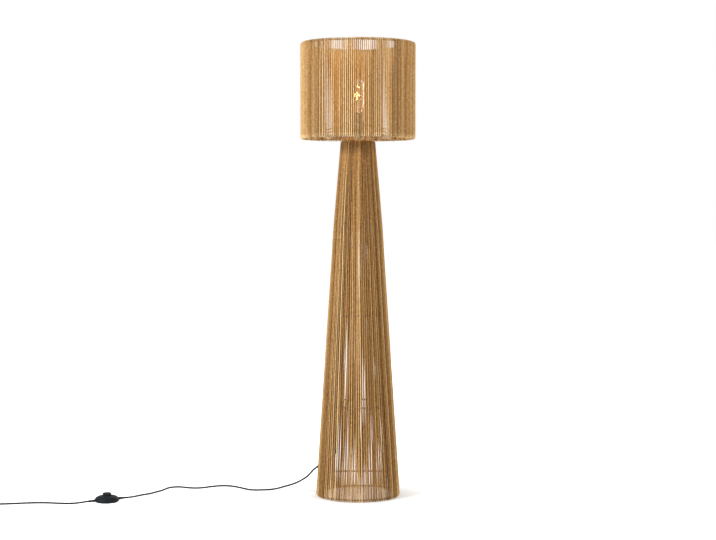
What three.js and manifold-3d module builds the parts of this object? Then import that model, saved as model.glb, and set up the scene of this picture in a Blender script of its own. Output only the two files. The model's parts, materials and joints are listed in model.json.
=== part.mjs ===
// A tall floor lamp: a tapered column and a drum shade, both made of twisted cord
// that is wound up and down over a frame of painted wire, with a lampholder and a
// clear filament bulb inside the shade, and a black flex with a foot switch.
// Millimetres, +Z up. The origin is the middle of the column's foot, on the floor,
// and +X is to the right of someone who stands in front of the lamp.

import * as THREE from 'three';
import { mergeVertices } from 'three/addons/utils/BufferGeometryUtils.js';
import Module from 'manifold-3d';

const wasm = await Module();
wasm.setup();

// Driving sizes of the whole lamp

const columnHeight = 1118;
const shadeDiameter = 360;
const shadeHeight = 302;
const shadeLift = 2;
const footDiameter = 265;
const waistHeight = 856;
const waistDiameter = 153;
const neckDiameter = 108;

// Clearances

const touchGap = 0.3;
const boreClearance = 0.3;
const cutOverrun = 2;
const weldTolerance = 0.001;

// Wound cord: one strand has a flat back and a narrow belly that faces the wire

const cordWidth = 3.2;
const cordDepth = 3.2;
const leastStrandGap = 0.7;
const shadeStrandPitch = 10.9;
const panelCount = 8;
const leastCordGap = 0.4;

// Frame wires

const ringWire = 5;
const strutWire = 4;
const strutCount = 4;
const hoopCount = 3;
const columnRingSegments = 32;
const shadeRingSegments = 40;
const ringSides = 6;
const wireSides = 8;
const crossBarHeight = 61;

// Lampholder and what carries it

const bracketThickness = 3;
const bracketDrop = 4;
const bracketHub = 34;
const bracketArmWidth = 7;
const nippleDiameter = 10;
const nippleBore = 7.6;
const nippleTail = 10;
const nippleShoulder = 16;
const shoulderLength = 24.1;
const nutAcross = 17;
const nutHeight = 4.5;
const holderDiameter = 36;
const capHeight = 32;
const capWall = 2;
const capCrown = 12;
const flangeDiameter = 43;
const flangeThickness = 3;
const threadDiameter = 34;
const threadHeight = 15;
const skirtDiameter = 31.5;
const skirtHeight = 23;
const socketBore = 28;
const coreSeatBore = 21;
const coreHeight = 9;
const contactDiameter = 8;
const contactHeight = 2;
const clampDiameter = 45;
const clampHeight = 7;
const spiderHub = 50;
const spiderThickness = 2.5;
const spiderArmWidth = 7;
const spiderArmRise = 23.8;
const spiderArmEnd = 12;

// Bulb

const glassHeight = 103.6;
const bulbDiameter = 38;
const glassWall = 1;
const glassShoulder = 26;
const bulbCapDiameter = 26.4;
const bulbCapHeight = 25;
const bulbCapWall = 1;
const bulbTipDiameter = 11;
const bulbTipHeight = 2.5;
const stemFoot = 15;
const stemDiameter = 4;
const stemHeadThickness = 2;
const filamentWire = 1.2;
const filamentSpread = 7;
const filamentRise = 31.6;
const filamentHeight = 47;
const filamentRuns = 6;

// Flex, its exit from the column and the tie on the strut

const flexDiameter = 5.5;
const flexSides = 8;
const flexStandoff = 0.9;
const exitHeight = 95.5;
const exitTilt = THREE.MathUtils.degToRad(35);
const bushLength = 24;
const bushDiameter = 8.4;
const bushTip = 7.2;
const strutTieWall = 0.8;
const strutTieWidth = 4;
const strutTieHeight = 640;
const flexJoinDrop = 119;

// Foot switch, turned so that the flex runs through it from the back right

const switchX = -775.5;
const switchY = -110;
const switchTurn = THREE.MathUtils.degToRad(30);
const switchDiameter = 75;
const switchBaseThickness = 1.6;
const switchInset = 1.9;
const switchWidestHeight = 6.5;
const switchCollarDiameter = 33;
const switchDomeTop = 20;
const switchWall = 2;
const switchEntryHeight = 7;
const buttonDiameter = 26;
const buttonTop = 28;
const buttonWall = 2.4;
const buttonEdge = 1.5;
const buttonFlangeDiameter = 31;
const buttonFlangeThickness = 1.6;
const springWire = 1.2;
const springDiameter = 12;
const springCurls = 6;
const springSteps = 8;
const springSides = 5;
const spigotDiameter = 9;
const spigotHeight = 5;
const reliefLength = 20;
const reliefDiameter = 8.8;
const reliefTip = 6.6;
const reliefNeck = 7;
const reliefFlange = 1.4;

// Coil of spare lead, its tie and the plug

const coilX = -1163;
const coilY = -128;
const coilMeanDiameter = 61;
const coilTurns = 4;
const coilClimbTurns = 0.5;
const coilSteps = 18;
const coilSides = 6;
const coilCordGap = 0.6;
const coilTail = 42;
const coilTieWall = 0.8;
const coilTieWidth = 5;
const coilTieGap = 0.6;
const plugWidth = 35;
const plugLength = 36;
const plugThickness = 20;
const plugCorner = 7;
const plugNeckLength = 18;
const plugNeckDiameter = 10;
const plugNeckTip = 7.4;
const pinDiameter = 4;
const pinLength = 19;
const pinSeat = 8;
const pinSpacing = 19;

// Materials

const finish = (name, color, roughness, metalness) => {
  const material = new THREE.MeshStandardMaterial({ color, roughness, metalness });
  material.name = name;
  return material;
};
const cordFinish = finish('twisted cord', 0xc79f6b, 0.85, 0);
const wireFinish = finish('black painted wire', 0x26211c, 0.45, 0.6);
const zincFinish = finish('zinc plated steel', 0x9a9a94, 0.4, 0.9);
const holderFinish = finish('brown phenolic', 0x2e1c12, 0.4, 0);
const brassFinish = finish('nickel plated brass', 0xb9b6ac, 0.3, 1);
const glassFinish = finish('clear glass', 0xf4efe2, 0.05, 0);
const filamentFinish = finish('glowing filament', 0xffb45a, 0.6, 0);
const blackFinish = finish('black plastic', 0x141414, 0.5, 0);
const flexFinish = finish('black flex', 0x101010, 0.6, 0);
const rubberFinish = finish('black rubber', 0x1a1a1a, 0.8, 0);
const springFinish = finish('spring steel', 0x8d9096, 0.35, 1);

// Shared shape makers

const lamp = new THREE.Group();

function add(name, geometry, material, parent = lamp) {
  const mesh = new THREE.Mesh(geometry, material);
  mesh.name = name;
  parent.add(mesh);
  return mesh;
}

function fromTriangles(points, triangles) {
  const geometry = new THREE.BufferGeometry();
  geometry.setAttribute('position', new THREE.Float32BufferAttribute(points.flat(), 3));
  geometry.setIndex(triangles.flat());
  return geometry;
}

function signedVolume(points, triangles) {
  const [a, b, c] = [new THREE.Vector3(), new THREE.Vector3(), new THREE.Vector3()];
  let sum = 0;
  for (const [i, j, k] of triangles) {
    sum += a.fromArray(points[i]).dot(b.fromArray(points[j]).cross(c.fromArray(points[k])));
  }
  return sum;
}

function facingOut(points, triangles) {
  const turned = signedVolume(points, triangles) > 0
    ? triangles
    : triangles.map(([i, j, k]) => [i, k, j]);
  return fromTriangles(points, turned);
}

// Sweeps a section along stations in the half plane of radius and height. Each station has
// its own turn about Z, corners are mitred, and [side, out] are the section's two directions.
function sweepStations(stations, section) {
  const normals = stations.slice(1).map((next, i) => {
    const rise = next.z - stations[i].z;
    const run = next.r - stations[i].r;
    return new THREE.Vector2(-rise, run).normalize();
  });
  const points = stations.flatMap(({ r, z, turn }, i) => {
    const before = normals[Math.max(i - 1, 0)];
    const after = normals[Math.min(i, normals.length - 1)];
    const out = before.clone().add(after).normalize();
    const stretch = 1 / out.dot(after);
    return section.map(([side, away]) => {
      const radius = r + out.x * away * stretch;
      return [
        radius * Math.cos(turn) - side * Math.sin(turn),
        radius * Math.sin(turn) + side * Math.cos(turn),
        z + out.y * away * stretch,
      ];
    });
  });
  const sides = section.length;
  const last = (stations.length - 1) * sides;
  const triangles = [];
  for (let i = 0; i < last; i += sides) {
    for (let j = 0; j < sides; j += 1) {
      const k = (j + 1) % sides;
      triangles.push([i + j, i + k, i + sides + k], [i + j, i + sides + k, i + sides + j]);
    }
  }
  for (let j = 1; j < sides - 1; j += 1) {
    triangles.push([0, j + 1, j], [last, last + j, last + j + 1]);
  }
  return facingOut(points, triangles);
}

function roundSection(diameter, sides) {
  return Array.from({ length: sides }, (_, i) => {
    const angle = (2 * Math.PI * i) / sides;
    return [(diameter / 2) * Math.sin(angle), (diameter / 2) * Math.cos(angle)];
  });
}

// A solid of revolution about Z from [radius, height] pairs that run upwards outside
function turned(profile, segments) {
  const points = profile.map(([r, z]) => new THREE.Vector2(r, z));
  const geometry = new THREE.LatheGeometry(points, segments);
  geometry.rotateX(Math.PI / 2);
  return geometry;
}

// A hollow solid of revolution, whose profile closes on itself
function turnedHollow(profile, segments) {
  return turned([...profile, profile[0]], segments);
}

// A round tube along a curve
function tube(curve, diameter, sides, steps) {
  const circle = new THREE.Shape();
  roundSection(diameter, sides).forEach(([x, y], i) => {
    if (i === 0) circle.moveTo(x, y);
    else circle.lineTo(x, y);
  });
  circle.closePath();
  return new THREE.ExtrudeGeometry(circle, { steps, extrudePath: curve, curveSegments: 1 });
}

const pointsOf = (rows) => rows.map(([x, y, z]) => new THREE.Vector3(x, y, z));
const smoothCurve = (rows) => new THREE.CatmullRomCurve3(pointsOf(rows), false, 'centripetal');

function solidOf(geometry) {
  const bare = geometry.clone();
  for (const name of ['normal', 'uv']) {
    if (bare.hasAttribute(name)) bare.deleteAttribute(name);
  }
  const merged = mergeVertices(bare, weldTolerance);
  return new wasm.Manifold(new wasm.Mesh({
    numProp: 3,
    vertProperties: Float32Array.from(merged.attributes.position.array),
    triVerts: Uint32Array.from(merged.index.array),
  }));
}

function geometryOf(solid) {
  const mesh = solid.getMesh();
  const geometry = new THREE.BufferGeometry();
  geometry.setAttribute('position', new THREE.BufferAttribute(mesh.vertProperties, 3));
  geometry.setIndex(new THREE.BufferAttribute(mesh.triVerts, 1));
  return geometry;
}

const joined = (first, ...others) =>
  geometryOf(others.reduce((solid, other) => solid.add(solidOf(other)), solidOf(first)));
const cutBy = (first, ...others) =>
  geometryOf(others.reduce((solid, other) => solid.subtract(solidOf(other)), solidOf(first)));

// Where the wires lie, so that a strand passes them on either side at the touch gap

const panelArc = (2 * Math.PI) / panelCount;
const facetSag = (radius, segments) => radius * (1 - Math.cos(Math.PI / segments));
const wrapRadius = (radius, segments) =>
  ringWire / 2 + touchGap + cordDepth + facetSag(radius, segments);
const columnWrap = wrapRadius(footDiameter / 2, columnRingSegments);
const shadeWrap = wrapRadius(shadeDiameter / 2, shadeRingSegments);

const lowerLean = Math.atan2((footDiameter - waistDiameter) / 2, waistHeight);
const upperLean = Math.atan2((waistDiameter - neckDiameter) / 2, columnHeight - waistHeight);

function columnRadius(height) {
  return height < waistHeight
    ? footDiameter / 2 - height * Math.tan(lowerLean)
    : waistDiameter / 2 - (height - waistHeight) * Math.tan(upperLean);
}

// The middle of a frame ring at a height: the strands' outer faces pass it one wrap radius away
function columnRingRadius(height) {
  const lean = height < waistHeight ? lowerLean : upperLean;
  return columnRadius(height) - columnWrap / Math.cos(lean);
}

// A strand that turns round a ring touches its wrap circle at evenly turned facets
const wrapPoint = (ring, wrap, from, to) => {
  const reach = wrap / Math.cos((to - from) / 2);
  const middle = (from + to) / 2;
  return { r: ring.r + reach * Math.cos(middle), z: ring.z + reach * Math.sin(middle) };
};

const shadeFoot = columnHeight + shadeLift;
const columnBottomRing = { r: columnRingRadius(columnWrap), z: columnWrap };
const halfWrapStep = Math.PI / 6;
const columnTopHeight = columnHeight - columnWrap / Math.cos(halfWrapStep);
const columnTopRing = { r: columnRingRadius(columnTopHeight), z: columnTopHeight };
const shadeRingRadius = shadeDiameter / 2 - shadeWrap;
const shadeTopRing = { r: shadeRingRadius, z: shadeFoot + shadeHeight - shadeWrap };
const shadeBottomRing = { r: shadeRingRadius, z: shadeFoot + shadeWrap / Math.cos(halfWrapStep) };

// Windings: the strand runs down outside, under the bottom ring, up inside and over the top
// ring. Phases count strand pitches, so an inner run lies between two outer runs. It is
// straight, unless the waist's hoop stands in its way, and it is left out where two panels
// meet, which is where the struts stand.

const cordSection = [
  [-cordWidth / 2, 0],
  [cordWidth / 2, 0],
  [0, -cordDepth],
];

function wind(loop, loops) {
  const pitch = panelArc / loops;
  const stations = [];
  for (let i = 0; i < loops; i += 1) {
    for (const { r, z, phase, inside } of loop) {
      if (!(inside && i === loops - 1)) {
        stations.push({ r, z, turn: (i + phase) * pitch });
      }
    }
  }
  return stations;
}

// The least distance between two stretches of one wound piece, over points on it that are
// further apart along it than the skip
function leastDistance(rows, skip) {
  let least = Infinity;
  rows.forEach((p, i) => {
    for (let j = i + 1; j < rows.length; j += 1) {
      if (rows[j].along - p.along > skip) least = Math.min(least, p.at.distanceTo(rows[j].at));
    }
  });
  return least;
}

function tellGap(name, gap) {
  console.log(`${name}: least gap to itself ${gap.toFixed(2)} mm, wanted over ${leastCordGap}`);
}

// Points along both outer edges of a winding's section
function edgePoints(stations) {
  const rows = [];
  const samplesPerRun = 12;
  let travelled = 0;
  for (let i = 1; i < stations.length; i += 1) {
    const [a, b] = [stations[i - 1], stations[i]];
    const length = Math.hypot(b.r - a.r, b.z - a.z, a.r * (b.turn - a.turn));
    for (let k = 0; k < samplesPerRun; k += 1) {
      const share = k / samplesPerRun;
      const [r, z, turn] = ['r', 'z', 'turn'].map((key) => THREE.MathUtils.lerp(a[key], b[key], share));
      for (const side of [-cordWidth / 2, cordWidth / 2]) {
        const at = new THREE.Vector3(r * Math.cos(turn) - side * Math.sin(turn),
          r * Math.sin(turn) + side * Math.cos(turn), z);
        rows.push({ at, along: travelled + share * length });
      }
    }
    travelled += length;
  }
  return rows;
}

// A round wound piece is measured on its middle line, less its own diameter
function tellTubeGap(name, curve, diameter) {
  const count = Math.ceil((2 * curve.getLength()) / diameter);
  const along = curve.getLength() / count;
  const rows = curve.getSpacedPoints(count).map((at, i) => ({ at, along: i * along }));
  tellGap(name, leastDistance(rows, 2 * Math.PI * diameter) - diameter);
}

function addPanels(name, stations) {
  const geometry = sweepStations(stations, cordSection);
  for (let i = 0; i < panelCount; i += 1) {
    add(`${name}_${i + 1}`, geometry, cordFinish).rotation.z = i * panelArc;
  }
  tellGap(name, leastDistance(edgePoints(stations), 4 * cordWidth));
}

function columnLoop() {
  const innerLean = Math.atan2(columnBottomRing.r - columnTopRing.r,
    columnTopRing.z - columnBottomRing.z);
  const innerUp = Math.PI + innerLean;
  const innerDown = innerUp - 2 * Math.PI;
  const down = -Math.PI / 2;
  const topStep = (innerUp - upperLean) / 3;
  const foot = (from, to) => wrapPoint(columnBottomRing, columnWrap, from, to);
  const head = (from, to) => wrapPoint(columnTopRing, columnWrap, from, to);
  const outerTurn = (lowerLean + down) / 2;
  const innerTurn = (down + innerDown) / 2;
  const innerFoot = foot(innerTurn, innerDown);
  const innerHead = head(innerUp - topStep, innerUp);
  const straightShare = (waistHeight - innerFoot.z) / (innerHead.z - innerFoot.z);
  const innerWaist = Math.min(
    THREE.MathUtils.lerp(innerFoot.r, innerHead.r, straightShare),
    columnRingRadius(waistHeight) - columnWrap,
  );
  return [
    { ...head(upperLean + topStep, innerUp - topStep), phase: 0.25 },
    { ...head(upperLean, upperLean + topStep), phase: 0.5 },
    { r: waistDiameter / 2, z: waistHeight, phase: 0.5 },
    { ...foot(lowerLean, outerTurn), phase: 0.5 },
    { ...foot(outerTurn, down), phase: 2 / 3 },
    { ...foot(down, innerTurn), phase: 5 / 6 },
    { ...innerFoot, phase: 1, inside: true },
    { r: innerWaist, z: waistHeight, phase: 1, inside: true },
    { ...innerHead, phase: 1, inside: true },
  ];
}

function shadeLoop() {
  const up = Math.PI / 2;
  const topStep = up / 2;
  const footStep = 2 * halfWrapStep;
  const foot = (from, to) => wrapPoint(shadeBottomRing, shadeWrap, from, to);
  const head = (from, to) => wrapPoint(shadeTopRing, shadeWrap, from, to);
  return [
    { ...head(up, up + topStep), phase: 1 / 6 },
    { ...head(topStep, up), phase: 1 / 3 },
    { ...head(0, topStep), phase: 0.5 },
    { ...foot(-footStep, 0), phase: 0.5 },
    { ...foot(-2 * footStep, -footStep), phase: 0.75 },
    { ...foot(-Math.PI, -2 * footStep), phase: 1, inside: true },
    { ...head(up + topStep, Math.PI), phase: 1, inside: true },
  ];
}

const loopsThatFit = (radius, pitch) => Math.max(1, Math.floor((radius * panelArc) / pitch));
const columnLoops = loopsThatFit(columnTopRing.r - columnWrap, cordWidth + leastStrandGap);
const shadeLoops = loopsThatFit(shadeRingRadius - shadeWrap,
  Math.max(shadeStrandPitch, cordWidth + leastStrandGap));

addPanels('column_winding', wind(columnLoop(), columnLoops));
addPanels('shade_winding', wind(shadeLoop(), shadeLoops));

// Frame rings and hoops, of bent wire

function addRing(name, { r, z }, segments) {
  add(name, new THREE.TorusGeometry(r, ringWire / 2, ringSides, segments), wireFinish)
    .position.z = z;
}

const hoopHeight = (i) => THREE.MathUtils.lerp(columnBottomRing.z, waistHeight, i / hoopCount);
const hoopNames = ['column_low_hoop', 'column_middle_hoop', 'column_high_hoop'];
addRing('column_bottom_ring', columnBottomRing, columnRingSegments);
hoopNames.forEach((name, i) => {
  const z = hoopHeight(i + 1);
  addRing(name, { r: columnRingRadius(z), z }, columnRingSegments);
});
addRing('column_top_ring', columnTopRing, columnRingSegments);
addRing('shade_bottom_ring', shadeBottomRing, shadeRingSegments);
addRing('shade_top_ring', shadeTopRing, shadeRingSegments);

// Struts stand inside the rings, in the places that the inner runs leave free

const strutInset = ringWire / 2 + touchGap + strutWire / 2;
const strutArc = (2 * Math.PI) / strutCount;
const strutTurn = (i) => (i + 0.5) * strutArc;
const strutRadius = (height) => columnRingRadius(height) - strutInset / Math.cos(lowerLean);

function addStruts(name, stations) {
  const geometry = sweepStations(stations.map((station) => ({ ...station, turn: 0 })),
    roundSection(strutWire, wireSides));
  for (let i = 0; i < strutCount; i += 1) {
    add(`${name}_${i + 1}`, geometry, wireFinish).rotation.z = strutTurn(i);
  }
}

addStruts('column_strut', [
  { r: strutRadius(columnBottomRing.z), z: columnBottomRing.z },
  { r: strutRadius(waistHeight), z: waistHeight },
  { r: strutRadius(columnTopRing.z), z: columnTopRing.z },
]);
const shadeStrutRadius = shadeRingRadius - strutInset;
addStruts('shade_strut', [
  { r: shadeStrutRadius, z: shadeBottomRing.z },
  { r: shadeStrutRadius, z: shadeTopRing.z },
]);

// A straight bar joins the two rear struts near the foot

const crossBarReach = strutRadius(crossBarHeight) * Math.cos(strutTurn(0));
const crossBarHalf = crossBarReach - strutWire / 2 - touchGap;
const crossBar = new THREE.CylinderGeometry(ringWire / 2, ringWire / 2, 2 * crossBarHalf, wireSides);
crossBar.rotateZ(Math.PI / 2);
add('lower_cross_bar', crossBar, wireFinish).position.set(0, crossBarReach, crossBarHeight);

// Lampholder bracket: a flat cross whose arms end against the column's struts

const bracketTop = columnTopRing.z - bracketDrop;
const bracketReach = strutRadius(bracketTop) - strutWire / 2 - touchGap;

function crossOutline(hubDiameter, armWidth, reach, boreDiameter) {
  const outline = new THREE.Shape();
  const hubRadius = hubDiameter / 2;
  const rootTurn = Math.asin(armWidth / 2 / hubRadius);
  for (let i = 0; i < strutCount; i += 1) {
    const turn = strutTurn(i);
    const along = new THREE.Vector2(Math.cos(turn), Math.sin(turn));
    const across = new THREE.Vector2(-along.y, along.x);
    const corner = (side) => along.clone().multiplyScalar(reach)
      .addScaledVector(across, (side * armWidth) / 2);
    const [right, left] = [corner(-1), corner(1)];
    if (i > 0) outline.absarc(0, 0, hubRadius, strutTurn(i - 1) + rootTurn, turn - rootTurn);
    else outline.moveTo(hubRadius * Math.cos(turn - rootTurn), hubRadius * Math.sin(turn - rootTurn));
    outline.lineTo(right.x, right.y);
    outline.lineTo(left.x, left.y);
  }
  const lastTurn = strutTurn(strutCount - 1) + rootTurn;
  outline.absarc(0, 0, hubRadius, lastTurn, strutTurn(0) - rootTurn + 2 * Math.PI);
  outline.holes.push(new THREE.Path().absarc(0, 0, boreDiameter / 2, 0, 2 * Math.PI, true));
  return outline;
}

const bracket = new THREE.ExtrudeGeometry(
  crossOutline(bracketHub, bracketArmWidth, bracketReach, nippleDiameter + 2 * boreClearance),
  { depth: bracketThickness, bevelEnabled: false, curveSegments: 6 });
add('lampholder_bracket', bracket, wireFinish).position.z = bracketTop - bracketThickness;

// Threaded nipple with a shoulder, and the nut that draws it down on the bracket

const turnedSegments = 16;
const shoulderFoot = bracketTop + touchGap;
const shoulderTop = shoulderFoot + shoulderLength;
const holderHeight = shoulderTop + touchGap;
const nippleHead = holderHeight + capWall + nippleDiameter / 2;
const nippleFoot = bracketTop - bracketThickness - nutHeight - nippleTail;
add('nipple_tube', turnedHollow([
  [nippleDiameter / 2, nippleFoot],
  [nippleDiameter / 2, shoulderFoot],
  [nippleShoulder / 2, shoulderFoot],
  [nippleShoulder / 2, shoulderTop],
  [nippleDiameter / 2, shoulderTop],
  [nippleDiameter / 2, nippleHead],
  [nippleBore / 2, nippleHead],
  [nippleBore / 2, nippleFoot],
], turnedSegments), zincFinish);

const nutOutline = new THREE.Shape(Array.from({ length: 6 }, (_, i) => {
  const angle = (i * Math.PI) / 3;
  const corner = nutAcross / 2 / Math.cos(Math.PI / 6);
  return new THREE.Vector2(corner * Math.cos(angle), corner * Math.sin(angle));
}));
nutOutline.holes.push(new THREE.Path()
  .absarc(0, 0, nippleDiameter / 2 + boreClearance, 0, 2 * Math.PI, true));
add('bracket_nut', new THREE.ExtrudeGeometry(nutOutline,
  { depth: nutHeight, bevelEnabled: false, curveSegments: 12 }), zincFinish)
  .position.z = bracketTop - bracketThickness - touchGap - nutHeight;

// Lampholder: a domed cap, a body with an outer thread and an insulating core

const capTop = holderHeight + capHeight;
const bodyFoot = capTop + touchGap;
const holderRadius = holderDiameter / 2;
const capStart = nippleDiameter / 2 + boreClearance;
const crownSteps = 5;
const crown = (radius, foot) => Array.from({ length: crownSteps + 1 }, (_, i) => {
  const angle = (i / crownSteps) * (Math.PI / 2);
  const from = Math.max(nippleShoulder / 2 - (holderRadius - radius), capStart);
  return [from + (radius - from) * Math.sin(angle), foot + capCrown * (1 - Math.cos(angle))];
});
add('lampholder_cap', turnedHollow([
  [capStart, holderHeight],
  ...crown(holderRadius, holderHeight),
  [holderRadius, capTop],
  [holderRadius - capWall, capTop],
  ...crown(holderRadius - capWall, holderHeight + capWall).reverse(),
  [capStart, holderHeight + capWall],
], turnedSegments), holderFinish);

const flangeTop = bodyFoot + flangeThickness;
const threadTop = flangeTop + threadHeight;
const skirtTop = threadTop + skirtHeight;
add('lampholder_body', turnedHollow([
  [coreSeatBore / 2, bodyFoot],
  [flangeDiameter / 2, bodyFoot],
  [flangeDiameter / 2, flangeTop],
  [threadDiameter / 2, flangeTop],
  [threadDiameter / 2, threadTop],
  [skirtDiameter / 2, threadTop],
  [skirtDiameter / 2, skirtTop],
  [socketBore / 2, skirtTop],
  [socketBore / 2, flangeTop],
  [coreSeatBore / 2, flangeTop],
], turnedSegments), holderFinish);

const coreFoot = flangeTop + touchGap;
const coreTop = coreFoot + coreHeight;
add('lampholder_core', turned([
  [0, coreFoot],
  [socketBore / 2 - boreClearance, coreFoot],
  [socketBore / 2 - boreClearance, coreTop],
  [contactDiameter / 2, coreTop],
  [contactDiameter / 2, coreTop + contactHeight],
  [0, coreTop + contactHeight],
], turnedSegments), holderFinish);

// Shade spider: its hub sits on the lampholder's flange, its arms end at the shade's struts

const hubFoot = flangeTop + touchGap;
const hubTop = hubFoot + spiderThickness;
const spiderBore = threadDiameter / 2 + boreClearance;
const spiderReach = shadeStrutRadius - strutWire / 2 - touchGap;
const spiderHubSolid = turnedHollow([
  [spiderBore, hubFoot],
  [spiderHub / 2, hubFoot],
  [spiderHub / 2, hubTop],
  [spiderBore, hubTop],
], turnedSegments);
const armMiddle = hubFoot + spiderThickness / 2;
const armEndHeight = shadeFoot + spiderArmRise;
const armStations = [
  { r: (spiderBore + spiderHub / 2) / 2, z: armMiddle },
  { r: spiderHub / 2 + spiderArmEnd, z: armMiddle },
  { r: spiderReach - spiderArmEnd, z: armEndHeight },
  { r: spiderReach, z: armEndHeight },
];
const armSection = [
  [-spiderArmWidth / 2, -spiderThickness / 2],
  [spiderArmWidth / 2, -spiderThickness / 2],
  [spiderArmWidth / 2, spiderThickness / 2],
  [-spiderArmWidth / 2, spiderThickness / 2],
];
const spiderArms = Array.from({ length: strutCount }, (_, i) => sweepStations(
  armStations.map((station) => ({ ...station, turn: strutTurn(i) })), armSection));
add('shade_spider', joined(spiderHubSolid, ...spiderArms), wireFinish);

const clampFoot = hubTop + touchGap;
add('shade_clamp_ring', turnedHollow([
  [spiderBore, clampFoot],
  [clampDiameter / 2, clampFoot],
  [clampDiameter / 2, clampFoot + clampHeight],
  [spiderBore, clampFoot + clampHeight],
], turnedSegments), holderFinish);

// Bulb: a screw cap, a clear glass that is open at its neck, a stem and a bent filament

const bulb = new THREE.Group();
lamp.add(bulb);
const tipFoot = coreTop + contactHeight + touchGap;
const screwFoot = tipFoot + bulbTipHeight;
const screwTop = screwFoot + bulbCapHeight;
const screwRadius = bulbCapDiameter / 2;
add('bulb_cap', turned([
  [0, tipFoot],
  [bulbTipDiameter / 2, tipFoot],
  [screwRadius - 2 * bulbCapWall, screwFoot],
  [screwRadius, screwFoot + 2 * bulbCapWall],
  [screwRadius, screwTop],
  [screwRadius - bulbCapWall, screwTop],
  [screwRadius - bulbCapWall, screwFoot + 2 * bulbCapWall],
  [0, screwFoot + 2 * bulbCapWall],
], turnedSegments), brassFinish, bulb);

const bulbRadius = bulbDiameter / 2;
const neckRadius = screwRadius - bulbCapWall - touchGap;
const glassFoot = screwTop - stemFoot / 2;
const glassBelly = screwTop + glassShoulder;
const bulbTop = screwTop + glassHeight;
const domeSteps = 5;
function glassOutline(inset) {
  const radius = bulbRadius - inset;
  const neck = neckRadius - inset;
  const shoulderSteps = 3;
  const shoulder = Array.from({ length: shoulderSteps + 1 }, (_, i) => {
    const share = i / shoulderSteps;
    const ease = (1 - Math.cos(Math.PI * share)) / 2;
    return [THREE.MathUtils.lerp(neck, radius, ease), THREE.MathUtils.lerp(screwTop, glassBelly, share)];
  });
  const dome = Array.from({ length: domeSteps }, (_, i) => {
    const angle = (i / domeSteps) * (Math.PI / 2);
    return [radius * Math.cos(angle), bulbTop - bulbRadius + radius * Math.sin(angle)];
  });
  return [[neck, glassFoot], ...shoulder, ...dome, [0, bulbTop - inset]];
}
add('bulb_glass', turned([
  ...glassOutline(glassWall).reverse(),
  ...glassOutline(0),
], turnedSegments), glassFinish, bulb);

const stemSeat = glassFoot + touchGap;
const stemNeck = neckRadius - glassWall - boreClearance;
const filamentFoot = screwTop + filamentRise;
const stemHeadTop = filamentFoot - filamentWire / 2 - touchGap;
const stemHeadRadius = filamentSpread + filamentWire;
add('bulb_stem', turned([
  [0, stemSeat],
  [stemNeck, stemSeat],
  [stemNeck, stemSeat + stemFoot / 2],
  [stemDiameter / 2, stemSeat + stemFoot],
  [stemDiameter / 2, stemHeadTop - 2 * stemHeadThickness],
  [stemHeadRadius, stemHeadTop - stemHeadThickness],
  [stemHeadRadius, stemHeadTop],
  [0, stemHeadTop],
], wireSides), glassFinish, bulb);

// The filament is one wire that runs up and down above the stem's head
class FilamentLine extends THREE.Curve {
  getPoint(share, target = new THREE.Vector3()) {
    const angle = 2 * Math.PI * share * ((filamentRuns - 1) / filamentRuns);
    const rise = Math.sin((Math.PI / 2) * Math.cos(Math.PI * filamentRuns * share));
    return target.set(filamentSpread * Math.cos(angle), filamentSpread * Math.sin(angle),
      filamentFoot + (filamentHeight * (1 - rise)) / 2);
  }
}
const filamentSteps = 5;
add('bulb_filament', tube(new FilamentLine(), filamentWire, springSides,
  filamentRuns * filamentSteps), filamentFinish, bulb);

// Flex inside the column: through the nipple, down beside a strut, and out between two
// outer runs at the left, through a rubber bush

const flexTurn = strutTurn(1);
const strutTieReach = strutWire / 2 + flexStandoff + flexDiameter / 2;
const innerFlexSteps = 60;
const towardsStrut = (r, z) => [r * Math.cos(flexTurn), r * Math.sin(flexTurn), z];
const flexBesideStrut = (z) => towardsStrut(strutRadius(z) - strutTieReach, z);

// Shares of the way out to the strut and down to where the flex meets it
const flexJoinHeight = nippleFoot - flexJoinDrop;
const neckBendShares = [[0.057, 0.158], [0.4, 0.369], [0.77, 0.621]];
const neckBend = neckBendShares.map(([out, down]) => towardsStrut(
  out * (strutRadius(flexJoinHeight) - strutTieReach),
  THREE.MathUtils.lerp(nippleFoot, flexJoinHeight, down)));

// Shares of the way from the tie up to the join, of the tie's height, and then of the foot's
// radius and the exit's height
const aboveTieShares = [0.825, 0.655, 0.455, 0.227];
const belowTieShares = [0.86, 0.703, 0.547, 0.422];
const exitBendShares = [
  [-0.521, 0.483, 2.01],
  [-0.506, 0.34, 1.634],
  [-0.536, 0.166, 1.382],
  [-0.619, 0.038, 1.267],
];
const aboveTie = aboveTieShares.map((share) =>
  flexBesideStrut(THREE.MathUtils.lerp(strutTieHeight, flexJoinHeight, share)));
const belowTie = belowTieShares.map((share) => flexBesideStrut(share * strutTieHeight));
const exitBend = exitBendShares.map(([x, y, z]) =>
  [x * footDiameter / 2, y * footDiameter / 2, z * exitHeight]);
const exitWay = [-Math.cos(exitTilt), 0, -Math.sin(exitTilt)];
const exitMiddle = [-(columnRadius(exitHeight) - columnWrap), 0, exitHeight];
const onExit = (reach) => exitMiddle.map((value, i) => value + reach * exitWay[i]);
add('inner_flex', tube(smoothCurve([
  [0, 0, nippleHead + flexDiameter],
  [0, 0, nippleHead],
  [0, 0, nippleFoot + nippleTail],
  [0, 0, nippleFoot],
  ...neckBend,
  flexBesideStrut(flexJoinHeight),
  ...aboveTie,
  flexBesideStrut(strutTieHeight),
  ...belowTie,
  ...exitBend,
  onExit(-bushLength),
  onExit(-bushLength / 2),
  onExit(bushLength / 2),
]), flexDiameter, flexSides, innerFlexSteps), flexFinish);

function placeAlong(geometry, start, way) {
  const turn = new THREE.Quaternion()
    .setFromUnitVectors(new THREE.Vector3(0, 0, 1), new THREE.Vector3(...way));
  return geometry.applyQuaternion(turn).translate(...start);
}

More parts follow.
